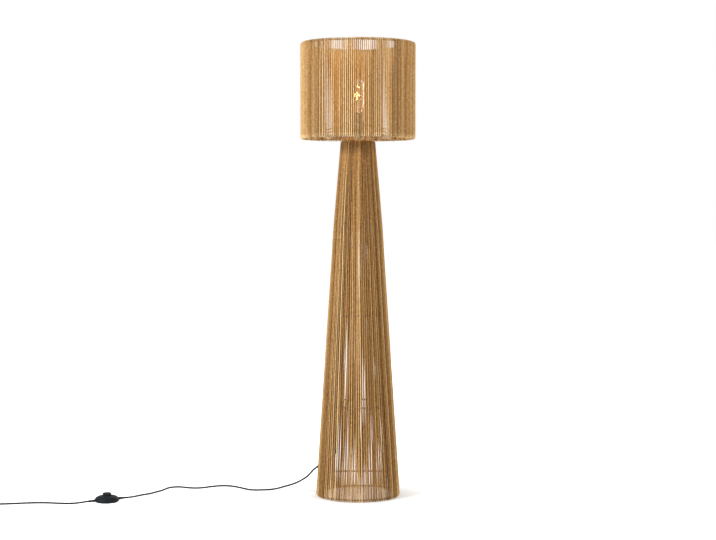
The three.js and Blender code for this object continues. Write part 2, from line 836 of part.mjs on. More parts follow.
const reliefSides = 10;
const bushBore = flexDiameter / 2 + boreClearance;
add('flex_bush', placeAlong(turnedHollow([
  [bushBore, 0],
  [bushDiameter / 2, 0],
  [bushDiameter / 2, (bushLength * 2) / 3],
  [bushTip / 2, bushLength],
  [bushBore, bushLength],
], reliefSides), onExit(-bushLength / 2), exitWay), rubberFinish);

// A tie holds the flex against its strut
const tieStrutEnd = strutWire / 2 + touchGap;
const tieFlexEnd = flexDiameter / 2 + touchGap;
function tieOutline(wall, PathType, clockwise) {
  const outline = new PathType();
  const half = Math.PI / 2;
  if (clockwise) {
    outline.absarc(0, 0, tieStrutEnd + wall, half, -half, true);
    outline.absarc(-strutTieReach, 0, tieFlexEnd + wall, -half, -3 * half, true);
  } else {
    outline.absarc(0, 0, tieStrutEnd + wall, -half, half, false);
    outline.absarc(-strutTieReach, 0, tieFlexEnd + wall, half, 3 * half, false);
  }
  outline.closePath();
  return outline;
}
const strutTieShape = tieOutline(strutTieWall, THREE.Shape, false);
strutTieShape.holes.push(tieOutline(0, THREE.Path, true));
const strutTie = add('flex_tie', new THREE.ExtrudeGeometry(strutTieShape,
  { depth: strutTieWidth, bevelEnabled: false, curveSegments: 6 }), blackFinish);
strutTie.rotation.z = flexTurn;
const tieRadius = strutRadius(strutTieHeight + strutTieWidth / 2);
strutTie.position.set(tieRadius * Math.cos(flexTurn), tieRadius * Math.sin(flexTurn), strutTieHeight);

// Foot switch: base, domed cover, push button with a flange, spring and two reliefs

const footSwitch = new THREE.Group();
footSwitch.position.set(switchX, switchY, 0);
footSwitch.rotation.z = switchTurn;
lamp.add(footSwitch);

const switchRadius = switchDiameter / 2;
add('switch_base', turned([
  [0, 0],
  [switchRadius - 2 * switchInset, 0],
  [switchRadius - switchInset, switchBaseThickness],
  [spigotDiameter / 2, switchBaseThickness],
  [spigotDiameter / 2, switchBaseThickness + spigotHeight],
  [0, switchBaseThickness + spigotHeight],
], turnedSegments), blackFinish, footSwitch);

const coverFoot = switchBaseThickness + touchGap;
const buttonBore = buttonDiameter / 2 + boreClearance;
const switchDomeSteps = 5;
const coverSegments = 28;
const domeRadius = (inset, z) => {
  const middle = inset > 0 ? buttonBore : switchCollarDiameter / 2;
  const rise = (z - switchWidestHeight) / (switchDomeTop - inset - switchWidestHeight);
  return middle + (switchRadius - inset - middle) * Math.sqrt(Math.max(0, 1 - rise * rise));
};
const domeProfile = (inset) => Array.from({ length: switchDomeSteps + 1 }, (_, i) => {
  const rise = Math.sin((i / switchDomeSteps) * (Math.PI / 2));
  const z = switchWidestHeight + rise * (switchDomeTop - inset - switchWidestHeight);
  return [domeRadius(inset, z), z];
});
const coverShell = turnedHollow([
  [switchRadius - switchInset - switchWall, coverFoot],
  [switchRadius - switchInset, coverFoot],
  ...domeProfile(0),
  [buttonBore, switchDomeTop],
  ...domeProfile(switchWall).reverse(),
], coverSegments);
const entry = new THREE.CylinderGeometry(reliefNeck / 2 + boreClearance,
  reliefNeck / 2 + boreClearance, switchDiameter + 2 * cutOverrun, reliefSides);
entry.rotateZ(Math.PI / 2).translate(0, 0, switchEntryHeight);
add('switch_cover', cutBy(coverShell, entry), blackFinish, footSwitch);

const buttonRadius = buttonDiameter / 2;
const flangeHead = switchDomeTop - switchWall - 2 * touchGap;
const buttonFoot = flangeHead - buttonFlangeThickness;
const buttonCeiling = buttonTop - buttonWall;
add('switch_button', turned([
  [0, buttonCeiling],
  [buttonRadius - buttonWall, buttonCeiling],
  [buttonRadius - buttonWall, buttonFoot],
  [buttonFlangeDiameter / 2, buttonFoot],
  [buttonFlangeDiameter / 2, flangeHead],
  [buttonRadius, flangeHead],
  [buttonRadius, buttonTop - buttonEdge],
  [buttonRadius - buttonEdge, buttonTop],
  [0, buttonTop],
], turnedSegments), blackFinish, footSwitch);

// Spring: a straight end, curls from a helix and a straight end
class Helix extends THREE.Curve {
  constructor(radius, foot, top, turns) {
    super();
    Object.assign(this, { radius, foot, top, turns });
  }

  getPoint(share, target = new THREE.Vector3()) {
    const angle = 2 * Math.PI * this.turns * share;
    return target.set(this.radius * Math.cos(angle), this.radius * Math.sin(angle),
      THREE.MathUtils.lerp(this.foot, this.top, share));
  }
}
const springFoot = switchBaseThickness + touchGap;
const springTop = buttonCeiling - touchGap;
const springRadius = springDiameter / 2;
const springLine = new THREE.CurvePath();
springLine.add(new THREE.LineCurve3(
  new THREE.Vector3(springRadius, 0, springFoot),
  new THREE.Vector3(springRadius, 0, springFoot + springWire)));
springLine.add(new Helix(springRadius, springFoot + springWire, springTop - springWire, springCurls));
springLine.add(new THREE.LineCurve3(
  new THREE.Vector3(springRadius, 0, springTop - springWire),
  new THREE.Vector3(springRadius, 0, springTop)));
add('switch_spring', tube(springLine, springWire, springSides, springCurls * springSteps + 2),
  springFinish, footSwitch);
tellTubeGap('switch_spring', springLine, springWire);

// Tapered reliefs: a flange inside the cover, a neck in its hole and a tail outside
const reliefFlangeTop = switchEntryHeight + reliefDiameter / 2;
const reliefSeat = domeRadius(switchWall, reliefFlangeTop) - 2 * touchGap;
const reliefFoot = switchRadius + touchGap;
const reliefEnd = reliefFoot + reliefLength;
const reliefShape = turned([
  [0, reliefSeat - reliefFlange],
  [reliefDiameter / 2, reliefSeat - reliefFlange],
  [reliefDiameter / 2, reliefSeat],
  [reliefNeck / 2, reliefSeat],
  [reliefNeck / 2, reliefFoot],
  [reliefDiameter / 2, reliefFoot],
  [reliefDiameter / 2, reliefFoot + reliefLength / 5],
  [reliefTip / 2, reliefEnd],
  [0, reliefEnd],
], reliefSides);
[['switch_relief_lamp_side', 1], ['switch_relief_plug_side', -1]].forEach(([name, side]) => {
  add(name, placeAlong(reliefShape.clone(), [0, 0, switchEntryHeight], [side, 0, 0]),
    rubberFinish, footSwitch);
});
const onSwitchLine = (reach) => [
  switchX + reach * Math.cos(switchTurn),
  switchY + reach * Math.sin(switchTurn),
  switchEntryHeight,
];

// Lead from the lamp to the switch: it hangs from the bush and then lies on the floor

const leadStep = 3 * flexDiameter;
const stepsAlong = (curve) => Math.ceil(curve.getLength() / leadStep);
const lampLeadLine = smoothCurve([
  onExit(bushLength / 2 + touchGap),
  onExit(bushLength),
  [-158, 8, 60],
  [-178, 19, 44.5],
  [-197.6, 32, 32.4],
  [-217, 45, 23.4],
  [-237, 57, 15.8],
  [-257, 67, 8.4],
  [-278, 73, 3.8],
  [-300, 71, 2.9],
  [-322, 67, 2.9],
  [-343, 71, 2.9],
  [-362, 86, 2.9],
  [-381, 108, 2.9],
  [-402, 128, 2.9],
  [-425, 140, 2.9],
  [-450, 140, 2.9],
  [-475, 127, 2.9],
  [-499, 109, 2.9],
  [-522, 101, 2.9],
  [-545, 105, 2.9],
  [-564, 115, 2.9],
  [-583, 121, 2.9],
  [-601, 116, 2.9],
  [-614, 101, 2.9],
  [-621, 80, 2.9],
  [-630, 57, 2.9],
  [-643, 33, 2.9],
  [-660, 6, 2.9],
  [-680, -14, 2.9],
  [-694.5, -34, 3.2],
  [-705, -54, 4.4],
  [-712.5, -68, 5.8],
  onSwitchLine(reliefEnd + touchGap + flexDiameter),
  onSwitchLine(reliefEnd + touchGap),
]);
add('lamp_lead', tube(lampLeadLine, flexDiameter, flexSides, stepsAlong(lampLeadLine)), flexFinish);

// Lead from the switch to the coil

const coilRadialPitch = flexDiameter + coilCordGap;
const coilMeanRadius = coilMeanDiameter / 2;
const coilSpiralTurns = (coilTurns - coilClimbTurns) / 2;
const coilSpread = coilRadialPitch * Math.ceil(coilSpiralTurns);
const coilOuter = coilMeanRadius + coilSpread / 2;
const coilInner = coilMeanRadius - coilSpread / 2;
const coilLow = coilTieWall + touchGap + flexDiameter / 2;
const coilHigh = coilLow + coilRadialPitch;
const coilStart = [coilX, coilY - coilOuter, coilLow];
const plugLeadLine = smoothCurve([
  onSwitchLine(-reliefEnd - touchGap),
  onSwitchLine(-reliefEnd - touchGap - flexDiameter),
  [-843.5, -148, 6],
  [-861, -152.5, 4.4],
  [-886, -153.5, 3.2],
  [-915, -149, 2.9],
  [-950, -142, 2.9],
  [-985, -140, 2.9],
  [-1020, -145, 2.9],
  [-1055, -153, 2.9],
  [-1090, -161, 3.2],
  [-1125, -164.6, 3.7],
  [coilStart[0] + flexDiameter, coilStart[1], coilStart[2]],
  [coilStart[0] + touchGap, coilStart[1], coilStart[2]],
]);
add('plug_lead', tube(plugLeadLine, flexDiameter, flexSides, stepsAlong(plugLeadLine)), flexFinish);

// Coil: the lead spirals in, climbs a layer in half a turn and spirals out above

class PiledLoops extends THREE.Curve {
  getPoint(share, target = new THREE.Vector3()) {
    const turns = share * coilTurns;
    const inward = Math.min(turns / coilSpiralTurns, 1);
    const outward = Math.max((turns - coilSpiralTurns - coilClimbTurns) / coilSpiralTurns, 0);
    const climb = THREE.MathUtils.clamp((turns - coilSpiralTurns) / coilClimbTurns, 0, 1);
    const radius = coilOuter - coilSpread * inward + coilSpread * outward;
    const angle = -Math.PI / 2 - 2 * Math.PI * turns;
    return target.set(coilX + radius * Math.cos(angle), coilY + radius * Math.sin(angle),
      THREE.MathUtils.lerp(coilLow, coilHigh, climb));
  }
}
const plugMiddle = plugThickness / 2;
const coilEnd = [coilX - coilTail, coilY - coilOuter, plugMiddle];
const coilLine = new THREE.CurvePath();
coilLine.add(new THREE.LineCurve3(
  new THREE.Vector3(...coilStart),
  new THREE.Vector3(coilStart[0] - flexDiameter / 2, coilStart[1], coilStart[2])));
coilLine.add(new PiledLoops());
coilLine.add(new THREE.LineCurve3(
  new THREE.Vector3(coilX, coilEnd[1], coilHigh),
  new THREE.Vector3(coilEnd[0] + flexDiameter, coilEnd[1], coilEnd[2])));
coilLine.add(new THREE.LineCurve3(
  new THREE.Vector3(coilEnd[0] + flexDiameter, coilEnd[1], coilEnd[2]),
  new THREE.Vector3(...coilEnd)));
add('lead_coil', tube(coilLine, flexDiameter, coilSides, coilTurns * coilSteps + coilSides),
  flexFinish);
tellTubeGap('lead_coil', coilLine, flexDiameter);

// A tie round the bundle of turns, at the coil's far side

const tieHole = [
  coilInner - flexDiameter / 2 - coilTieGap,
  coilTieWall,
  coilOuter + flexDiameter / 2 + coilTieGap,
  coilHigh + flexDiameter / 2 + touchGap,
];
const rectangle = (PathType, [left, low, right, high], grow) => new PathType([
  [left - grow, low - grow],
  [right + grow, low - grow],
  [right + grow, high + grow],
  [left - grow, high + grow],
].map(([x, y]) => new THREE.Vector2(x, y)));
const coilTieShape = rectangle(THREE.Shape, tieHole, coilTieWall);
coilTieShape.holes.push(rectangle(THREE.Path, tieHole, 0));
const coilTie = new THREE.ExtrudeGeometry(coilTieShape, { depth: coilTieWidth, bevelEnabled: false });
coilTie.rotateX(Math.PI / 2).translate(0, coilTieWidth / 2, 0).rotateZ(Math.PI / 2);
add('coil_tie', coilTie, blackFinish).position.set(coilX, coilY, 0);

// Plug: a flat moulded body with a tapered neck and two round pins

const plug = new THREE.Group();
plug.position.set(coilEnd[0] - touchGap, coilEnd[1], plugMiddle);
lamp.add(plug);

const bodyFront = plugNeckLength + plugLength;
const halfWidth = plugWidth / 2;
const plugOutline = new THREE.Shape();
plugOutline.moveTo(plugNeckLength, -plugNeckDiameter / 2);
plugOutline.quadraticCurveTo(plugNeckLength + plugCorner, -halfWidth,
  plugNeckLength + 2 * plugCorner, -halfWidth);
plugOutline.lineTo(bodyFront - plugCorner, -halfWidth);
plugOutline.quadraticCurveTo(bodyFront, -halfWidth, bodyFront, plugCorner - halfWidth);
plugOutline.lineTo(bodyFront, halfWidth - plugCorner);
plugOutline.quadraticCurveTo(bodyFront, halfWidth, bodyFront - plugCorner, halfWidth);
plugOutline.lineTo(plugNeckLength + 2 * plugCorner, halfWidth);
plugOutline.quadraticCurveTo(plugNeckLength + plugCorner, halfWidth,
  plugNeckLength, plugNeckDiameter / 2);
plugOutline.closePath();
const plugShell = new THREE.ExtrudeGeometry(plugOutline,
  { depth: plugThickness, bevelEnabled: false, curveSegments: 5 });
plugShell.translate(0, 0, -plugMiddle);
const plugNeck = placeAlong(turned([
  [0, 0],
  [plugNeckTip / 2, 0],
  [plugNeckDiameter / 2, plugNeckLength + plugCorner],
  [0, plugNeckLength + plugCorner],
], reliefSides), [0, 0, 0], [1, 0, 0]);
const pinSides = 12;
const roundBar = (diameter, from, to, y) => new THREE.CylinderGeometry(
  diameter / 2, diameter / 2, to - from, pinSides)
  .rotateZ(-Math.PI / 2).translate((from + to) / 2, y, 0);
const pinPlaces = [-pinSpacing / 2, pinSpacing / 2];
const pinFoot = bodyFront - pinSeat;
const pinHoles = pinPlaces.map((y) => solidOf(
  roundBar(pinDiameter + 2 * boreClearance, pinFoot - touchGap, bodyFront + cutOverrun, y)));
const plugSolid = pinHoles.reduce((solid, hole) => solid.subtract(hole),
  solidOf(plugShell).add(solidOf(plugNeck)));
plug.rotation.z = Math.PI;
add('plug_body', geometryOf(plugSolid), blackFinish, plug);
pinPlaces.forEach((y, i) => {
  add(`plug_pin_${i + 1}`, roundBar(pinDiameter, pinFoot, bodyFront + pinLength, y),
    brassFinish, plug);
});

export default lamp;
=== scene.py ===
# %% [markdown]
# A tall floor lamp is built here: a tapered column and a drum shade, both of twisted cord
# wound up and down over a wire frame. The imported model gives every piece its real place
# and size. This lesson puts finer pieces round it and paints each one with shader nodes.
# The numbers are metres, and millimetres where MM or mm stands beside them.

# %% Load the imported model
import json
import math
import random

import bmesh
import bpy
import numpy as np
from mathutils import Matrix, Vector


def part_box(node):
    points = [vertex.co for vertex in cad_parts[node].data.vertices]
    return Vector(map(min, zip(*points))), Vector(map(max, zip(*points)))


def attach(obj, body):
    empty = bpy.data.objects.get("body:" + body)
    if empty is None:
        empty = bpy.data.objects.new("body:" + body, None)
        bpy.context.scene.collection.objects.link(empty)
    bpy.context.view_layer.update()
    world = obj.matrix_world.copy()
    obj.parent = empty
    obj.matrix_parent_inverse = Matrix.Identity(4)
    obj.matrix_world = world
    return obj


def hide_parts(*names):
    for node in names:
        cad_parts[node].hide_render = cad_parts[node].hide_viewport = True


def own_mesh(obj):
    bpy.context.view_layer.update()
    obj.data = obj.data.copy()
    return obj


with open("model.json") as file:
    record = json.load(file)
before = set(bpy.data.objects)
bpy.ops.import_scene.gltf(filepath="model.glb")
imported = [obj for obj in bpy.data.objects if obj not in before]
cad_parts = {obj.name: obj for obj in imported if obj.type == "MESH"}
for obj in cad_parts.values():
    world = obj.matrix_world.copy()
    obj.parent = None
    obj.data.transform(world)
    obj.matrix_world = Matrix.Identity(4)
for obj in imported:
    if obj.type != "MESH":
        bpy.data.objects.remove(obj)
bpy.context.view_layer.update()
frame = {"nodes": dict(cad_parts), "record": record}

# %% [markdown]
# The camera comes first, because the cords are judged by what it sees. It stands a little
# under five metres in front of the lamp, below the shade and above the foot, and looks
# slightly down. A long lens keeps the column's sides nearly straight.

# %% Camera
camera_distance, camera_height, camera_tilt = 4.716, 0.9105, 0.0421


def new_object(name, data):
    made = bpy.data.objects.new(name, data)
    bpy.context.collection.objects.link(made)
    return made


camera = new_object("camera", bpy.data.cameras.new("camera"))
camera.data.sensor_width, camera.data.lens = 36, 75.51
camera.location = (0, -camera_distance, camera_height)
camera.rotation_euler = (math.pi / 2 - camera_tilt, 0, 0)
bpy.context.scene.camera = camera
print("camera looks down by", round(math.degrees(camera_tilt), 1), "degrees")

# %% [markdown]
# Every round cord is a curve with a bevel: one poly spline runs through the points and the
# bevel gives it its thickness. The free flex keeps this form. A piece that moves or needs
# its own coordinates is turned into a mesh afterwards.

# %% Helpers for cords
def new_curve(name, points, diameter, rounds):
    data = bpy.data.curves.new(name, "CURVE")
    data.dimensions = "3D"
    data.bevel_depth = diameter / 2
    data.bevel_resolution = rounds
    data.use_fill_caps = True
    spline = data.splines.new("POLY")
    spline.points.add(len(points) - 1)
    spline.points.foreach_set("co", [c for p in points for c in (*p, 1)])
    spline.use_smooth = True
    return new_object(name, data)


def curve_mesh(name, points, diameter, rounds):
    """A cord as a mesh: the vertices of its two caps, and then a ring for every point."""
    curve = new_curve(name + "_line", points, diameter, rounds)
    graph = bpy.context.evaluated_depsgraph_get()
    mesh = bpy.data.meshes.new_from_object(curve.evaluated_get(graph))
    bpy.data.objects.remove(curve)
    mesh.shade_smooth()
    return mesh


# %% Length and smooth path
def path_length(points):
    return sum((Vector(b) - Vector(a)).length for a, b in zip(points, points[1:]))


def smooth_path(corners, step):
    """A centripetal Catmull-Rom line through the corners, with points about a step apart."""
    p = [Vector(c) for c in corners]
    p = [2 * p[0] - p[1], *p, 2 * p[-1] - p[-2]]
    made = []
    for a, b, c, d in zip(p, p[1:], p[2:], p[3:]):
        t0, t1 = 0, (b - a).length ** 0.5
        t2 = t1 + (c - b).length ** 0.5
        t3 = t2 + (d - c).length ** 0.5
        steps = max(1, round((c - b).length / step))
        for k in range(steps):
            t = t1 + (t2 - t1) * k / steps
            ab = a.lerp(b, (t - t0) / (t1 - t0))
            bc = b.lerp(c, (t - t1) / (t2 - t1))
            cd = c.lerp(d, (t - t2) / (t3 - t2))
            abc = ab.lerp(bc, (t - t0) / (t2 - t0))
            bcd = bc.lerp(cd, (t - t1) / (t3 - t1))
            made.append(abc.lerp(bcd, (t - t1) / (t2 - t1)))
    return made + [p[-2]]


# %% [markdown]
# The flex leaves the column at the left through a rubber bush, sinks to the floor and winds
# to the foot switch. Its points are the ones that the solids follow, so both lie alike.

# %% Flex from the lamp to the switch
flex_diameter = 0.0055
flex_step = 0.006
flex_rounds = 4
flex_level = 0.0029
exit_tilt = math.radians(35)
exit_middle = Vector((-0.11961, 0, 0.0955))
exit_way = Vector((-math.cos(exit_tilt), 0, -math.sin(exit_tilt)))
bush_length = 0.024
touch_gap = 0.0003
switch_middle = Vector((-0.7755, -0.11, 0.007))
switch_turn = math.radians(30)
switch_way = Vector((math.cos(switch_turn), math.sin(switch_turn), 0))
relief_end = 0.0578
lamp_exit = exit_middle + exit_way * (bush_length / 2 + touch_gap)


def lying(*places):
    """Points of a flex that lies on the floor."""
    return [(x, y, flex_level) for x, y in places]


lamp_lead_path = smooth_path([
    lamp_exit, exit_middle + exit_way * bush_length,
    (-0.158, 0.008, 0.06), (-0.178, 0.019, 0.0445), (-0.1976, 0.032, 0.0324),
    (-0.217, 0.045, 0.0234), (-0.237, 0.057, 0.0158), (-0.257, 0.067, 0.0084),
    (-0.278, 0.073, 0.0038),
    *lying((-0.3, 0.071), (-0.322, 0.067), (-0.343, 0.071), (-0.362, 0.086), (-0.381, 0.108),
           (-0.402, 0.128), (-0.425, 0.14), (-0.45, 0.14), (-0.475, 0.127), (-0.499, 0.109),
           (-0.522, 0.101), (-0.545, 0.105), (-0.564, 0.115), (-0.583, 0.121), (-0.601, 0.116),
           (-0.614, 0.101), (-0.621, 0.08), (-0.63, 0.057), (-0.643, 0.033), (-0.66, 0.006),
           (-0.68, -0.014)),
    (-0.6945, -0.034, 0.0032), (-0.705, -0.054, 0.0044),
    (-0.7125, -0.068, 0.0058),
    switch_middle + switch_way * (relief_end + touch_gap + flex_diameter),
    switch_middle + switch_way * (relief_end + touch_gap),
], flex_step)
lamp_lead = new_curve("lamp_flex", lamp_lead_path, flex_diameter, flex_rounds)
print("flex from the lamp to the switch:", round(path_length(lamp_lead_path), 3))

# %% [markdown]
# Beyond the switch the flex runs out of the picture. The rest of the lead is put away there
# in a neat coil: it spirals in, climbs one layer in half a turn and spirals out on top.

# %% Flex from the switch to the coil and the plug
coil_middle = Vector((-1.163, -0.128, 0))
coil_low, coil_high = 0.00385, 0.00995
coil_inner, coil_outer = 0.0244, 0.0366
coil_turns, climb_turns = 4, 0.5
coil_turn_steps = 40
coil_tail = 0.042
plug_middle_height = 0.01
plug_start = Vector((coil_middle.x - coil_tail, coil_middle.y - coil_outer, plug_middle_height))


def coil_points(steps):
    spiral = (coil_turns - climb_turns) / 2
    made = []
    for k in range(steps + 1):
        turns = coil_turns * k / steps
        inward = min(turns / spiral, 1)
        outward = max((turns - spiral - climb_turns) / spiral, 0)
        climb = min(max((turns - spiral) / climb_turns, 0), 1)
        radius = coil_outer + (coil_outer - coil_inner) * (outward - inward)
        angle = -math.pi / 2 - 2 * math.pi * turns
        made.append(coil_middle + Vector((radius * math.cos(angle), radius * math.sin(angle),
                                          coil_low + (coil_high - coil_low) * climb)))
    return made


switch_exit = switch_middle - switch_way * (relief_end + touch_gap)
coil_start = coil_middle + Vector((0, -coil_outer, coil_low))
plug_lead_path = smooth_path([
    switch_exit, switch_exit - switch_way * flex_diameter,
    (-0.8435, -0.148, 0.006), (-0.861, -0.1525, 0.0044), (-0.886, -0.1535, 0.0032),
    *lying((-0.915, -0.149), (-0.95, -0.142), (-0.985, -0.14), (-1.02, -0.145),
           (-1.055, -0.153)), (-1.09, -0.161, 0.0032),
    (-1.125, -0.1646, 0.0037), coil_start + Vector((flex_diameter, 0, 0)), coil_start,
], flex_step)
plug_lead_path += coil_points(coil_turns * coil_turn_steps)[1:]
plug_lead_path += [plug_start + Vector((flex_diameter, 0, 0)), plug_start]
plug_lead = new_curve("plug_flex", plug_lead_path, flex_diameter, flex_rounds)
print("flex from the switch to the plug:", round(path_length(plug_lead_path), 3))

# %% [markdown]
# Materials share a few effects. Each effect is a node group that puts out a mask or a
# height; the Principled shader stays in the material. Small builders keep the wiring short:
# they add a node, set its values and link what is given as a socket.

# %% Shader helpers
def add_node(tree, kind, values=None, **settings):
    made = tree.nodes.new(kind)
    for key, value in settings.items():
        setattr(made, key, value)
    for key, value in (values or {}).items():
        if isinstance(value, bpy.types.NodeSocket):
            tree.links.new(value, made.inputs[key])
        else:
            made.inputs[key].default_value = value
    return made


def do_math(tree, operation, *values, clamp=False):
    made = add_node(tree, "ShaderNodeMath", dict(enumerate(values)), operation=operation)
    made.use_clamp = clamp
    return made.outputs[0]


def new_group(name, outputs, **inputs):
    """Inputs have their default, or None where a place is wanted. Outputs are numbers."""
    tree = bpy.data.node_groups.new(name, "ShaderNodeTree")
    for title, default in inputs.items():
        kind = "NodeSocketVector" if default is None else "NodeSocketFloat"
        socket = tree.interface.new_socket(title, in_out="INPUT", socket_type=kind)
        if default is not None:
            socket.default_value = default
    for title in outputs:
        tree.interface.new_socket(title, in_out="OUTPUT", socket_type="NodeSocketFloat")
    print("group:", name, "puts out", ", ".join(outputs))
    given, wanted = tree.nodes.new("NodeGroupInput"), tree.nodes.new("NodeGroupOutput")
    return tree, given.outputs, wanted.inputs


def connect(tree, sockets, **values):
    for title, value in values.items():
        tree.links.new(value, sockets[title.replace("_", " ")])


def noise(tree, vector, scale, **values):
    return add_node(tree, "ShaderNodeTexNoise",
                    {"Vector": vector, "Scale": scale, **values}).outputs[0]


def map_range(tree, value, low, high, start=0.0, end=1.0):
    """Stretches what lies between start and end, so that it lies between low and high."""
    return add_node(tree, "ShaderNodeMapRange", {
        "Value": value, "From Min": start, "From Max": end, "To Min": low,
        "To Max": high}).outputs[0]


def object_place(tree):
    return add_node(tree, "ShaderNodeTexCoord").outputs["Object"]

# %% [markdown]
# A cord is twisted from plies. Seen along it, the plies give slanting ridges with grooves
# between them, which the group marks for painted shade. The group works on two coordinates
# that every cord carries in its UV map: metres along it, and the share of the way round it.

# %% Group: lay of a twisted cord
lay_group, given, wanted = new_group("cord lay", ("Height", "Groove"), Along=0, Around=0,
                                     Plies=3, Lay=0.011)
ply_phase = do_math(lay_group, "ADD",
                    do_math(lay_group, "MULTIPLY", given["Around"], given["Plies"]),
                    do_math(lay_group, "DIVIDE", given["Along"], given["Lay"]))
ply_wave = do_math(lay_group, "ABSOLUTE", do_math(
    lay_group, "SINE", do_math(lay_group, "MULTIPLY", ply_phase, math.pi)))
groove_edge = 0.55
connect(lay_group, wanted, Height=ply_wave,
        Groove=map_range(lay_group, ply_wave, 0, 1, groove_edge, 0))

# %% [markdown]
# Dry plant fibre is never one colour. This group makes a broad noise for patches, a fine one
# that is stretched along the strand for single fibres, and one of about six millimetres for
# slubs, the spots where a twisted cord is a little fuller.

# %% Group: fibres
fibre_group, given, wanted = new_group("fibres", ("Patches", "Strands", "Slubs"),
                                       Vector=None, Fine=900, Broad=14)
stretched = add_node(fibre_group, "ShaderNodeMapping",
                     {"Vector": given["Vector"], "Scale": (1, 1, 0.12)}).outputs[0]
slub_scale = 170
connect(fibre_group, wanted,
        Patches=noise(fibre_group, given["Vector"], given["Broad"], Detail=3),
        Strands=noise(fibre_group, stretched, given["Fine"], Detail=4, Roughness=0.6),
        Slubs=noise(fibre_group, given["Vector"], slub_scale, Detail=2))

# %% [markdown]
# Plastic, paint and rubber get a fine grain and a few broad, softer marks from handling.
# The group feeds the roughness and the bump of all of them, with other values for each.

# %% Group: handled surface
handled_group, given, wanted = new_group("handled surface", ("Grain", "Marks"), Vector=None,
                                         Grain=1500, Marks=25)
connect(handled_group, wanted,
        Grain=noise(handled_group, given["Vector"], given["Grain"], Detail=2),
        Marks=noise(handled_group, given["Vector"], given["Marks"], Detail=5, Roughness=0.65,
                    Distortion=0.4))

# %% [markdown]
# A plain finish is a Principled shader whose colour and roughness swing a little between
# two values with the marks, and whose normal comes from the grain through a Bump node.

# %% Parts of a material
def new_material(name, **fixed):
    material = bpy.data.materials.new(name)
    material.use_nodes = True
    tree = material.node_tree
    shader = tree.nodes["Principled BSDF"]
    for key, value in fixed.items():
        shader.inputs[key.replace("_", " ")].default_value = value
    print("material:", name)
    return material, tree, shader


def place_group(tree, group, **values):
    return add_node(tree, "ShaderNodeGroup", values, node_tree=group).outputs


def bump(tree, height, depth, strength):
    return add_node(tree, "ShaderNodeBump", {"Height": height, "Distance": depth,
                                             "Strength": strength}).outputs[0]


def mixed(tree, share, first, second):
    made = add_node(tree, "ShaderNodeMix", data_type="RGBA")
    tree.links.new(share, made.inputs["Factor"])
    for key, value in (("A", first), ("B", second)):
        socket = next(s for s in made.inputs if s.name == key and s.type == "RGBA")
        if isinstance(value, bpy.types.NodeSocket):
            tree.links.new(value, socket)
        else:
            socket.default_value = (*value, 1)
    return next(s for s in made.outputs if s.type == "RGBA")


# %% Plain finishes
marks_spread = 0.3, 0.7


def plain_finish(name, dark, light, rough, grain_size=1500, grain_depth=0.00002, **fixed):
    material, tree, shader = new_material(name, **fixed)
    surface = place_group(tree, handled_group, Vector=object_place(tree), Grain=grain_size)
    connect(tree, shader.inputs, Base_Color=mixed(tree, surface["Marks"], dark, light),
            Roughness=map_range(tree, surface["Marks"], *rough, *marks_spread),
            Normal=bump(tree, surface["Grain"], grain_depth, 0.6))
    return material


finishes = {
    "frame_wire": plain_finish(
        "brown painted wire", (0.2, 0.115, 0.055), (0.32, 0.19, 0.09), (0.5, 0.7)),
    "zinc_steel": plain_finish(
        "yellow zinc plated steel", (0.32, 0.23, 0.11), (0.48, 0.36, 0.18), (0.3, 0.5),
        Metallic=1.0),
    "holder_plastic": plain_finish(
        "brown phenolic", (0.022, 0.009, 0.005), (0.04, 0.018, 0.01), (0.28, 0.42)),
    "plated_brass": plain_finish(
        "nickel plated brass", (0.4, 0.38, 0.33), (0.56, 0.54, 0.48), (0.18, 0.35),
        Metallic=1.0),
    "black_plastic": plain_finish(
        "moulded black plastic", (0.004, 0.006, 0.008), (0.008, 0.011, 0.014), (0.5, 0.66),
        grain_depth=0.00004, Specular_IOR_Level=0.12),
    "black_flex": plain_finish(
        "black flex sheath", (0.006, 0.006, 0.007), (0.012, 0.012, 0.013), (0.5, 0.66),
        grain_size=2500, Specular_IOR_Level=0.14),
    "black_rubber": plain_finish(
        "black rubber", (0.006, 0.006, 0.007), (0.013, 0.013, 0.014), (0.6, 0.78),
        Specular_IOR_Level=0.14),
    "spring_steel": plain_finish(
        "spring steel", (0.22, 0.23, 0.25), (0.34, 0.35, 0.37), (0.25, 0.4), Metallic=1.0),
}

# %% [markdown]
# The cord's finish joins three things: each strand has a colour of its own, kept as an
# attribute on its points together with the winding's painted shade and painted light; fibres
# vary that colour; and the lay paints shade into the grooves and raises the plies.

# %% Cord finish
finishes["twisted_cord"], tree, shader = new_material("twisted plant fibre cord",
                                                      Specular_IOR_Level=0.25)
place = add_node(tree, "ShaderNodeTexCoord")
split = add_node(tree, "ShaderNodeSeparateXYZ", {0: place.outputs["UV"]}).outputs
lay = place_group(tree, lay_group, Along=split["X"], Around=split["Y"], Plies=3, Lay=0.0046)
fibres = place_group(tree, fibre_group, Vector=place.outputs["Object"])
# The strand attribute holds each strand's own tone, with painted shade on inner runs and at the
# neck and painted light on the loops under the foot ring.
strand_tone_and_shade = add_node(tree, "ShaderNodeAttribute", attribute_name="strand").outputs["Fac"]
strand_share, fibre_share, slub_share, patch_share, groove_painted_shade = 0.72, 0.28, 0.7, 0.22, 0.6
slub_tone = do_math(tree, "MULTIPLY", do_math(tree, "SUBTRACT", fibres["Slubs"], 0.5),
                    slub_share)
fibre_tone = do_math(tree, "MULTIPLY", fibres["Strands"], fibre_share)
tone = do_math(tree, "ADD", do_math(tree, "MULTIPLY", strand_tone_and_shade, strand_share),
               do_math(tree, "ADD", fibre_tone, slub_tone), clamp=True)
ramp = add_node(tree, "ShaderNodeValToRGB", {0: tone})
stops = ramp.color_ramp.elements
stops[0].position, stops[0].color = 0.12, (0.18, 0.078, 0.021, 1)
stops[1].position, stops[1].color = 0.88, (0.95, 0.71, 0.39, 1)
middle_stop = stops.new(0.5)
middle_stop.color = (0.56, 0.305, 0.098, 1)
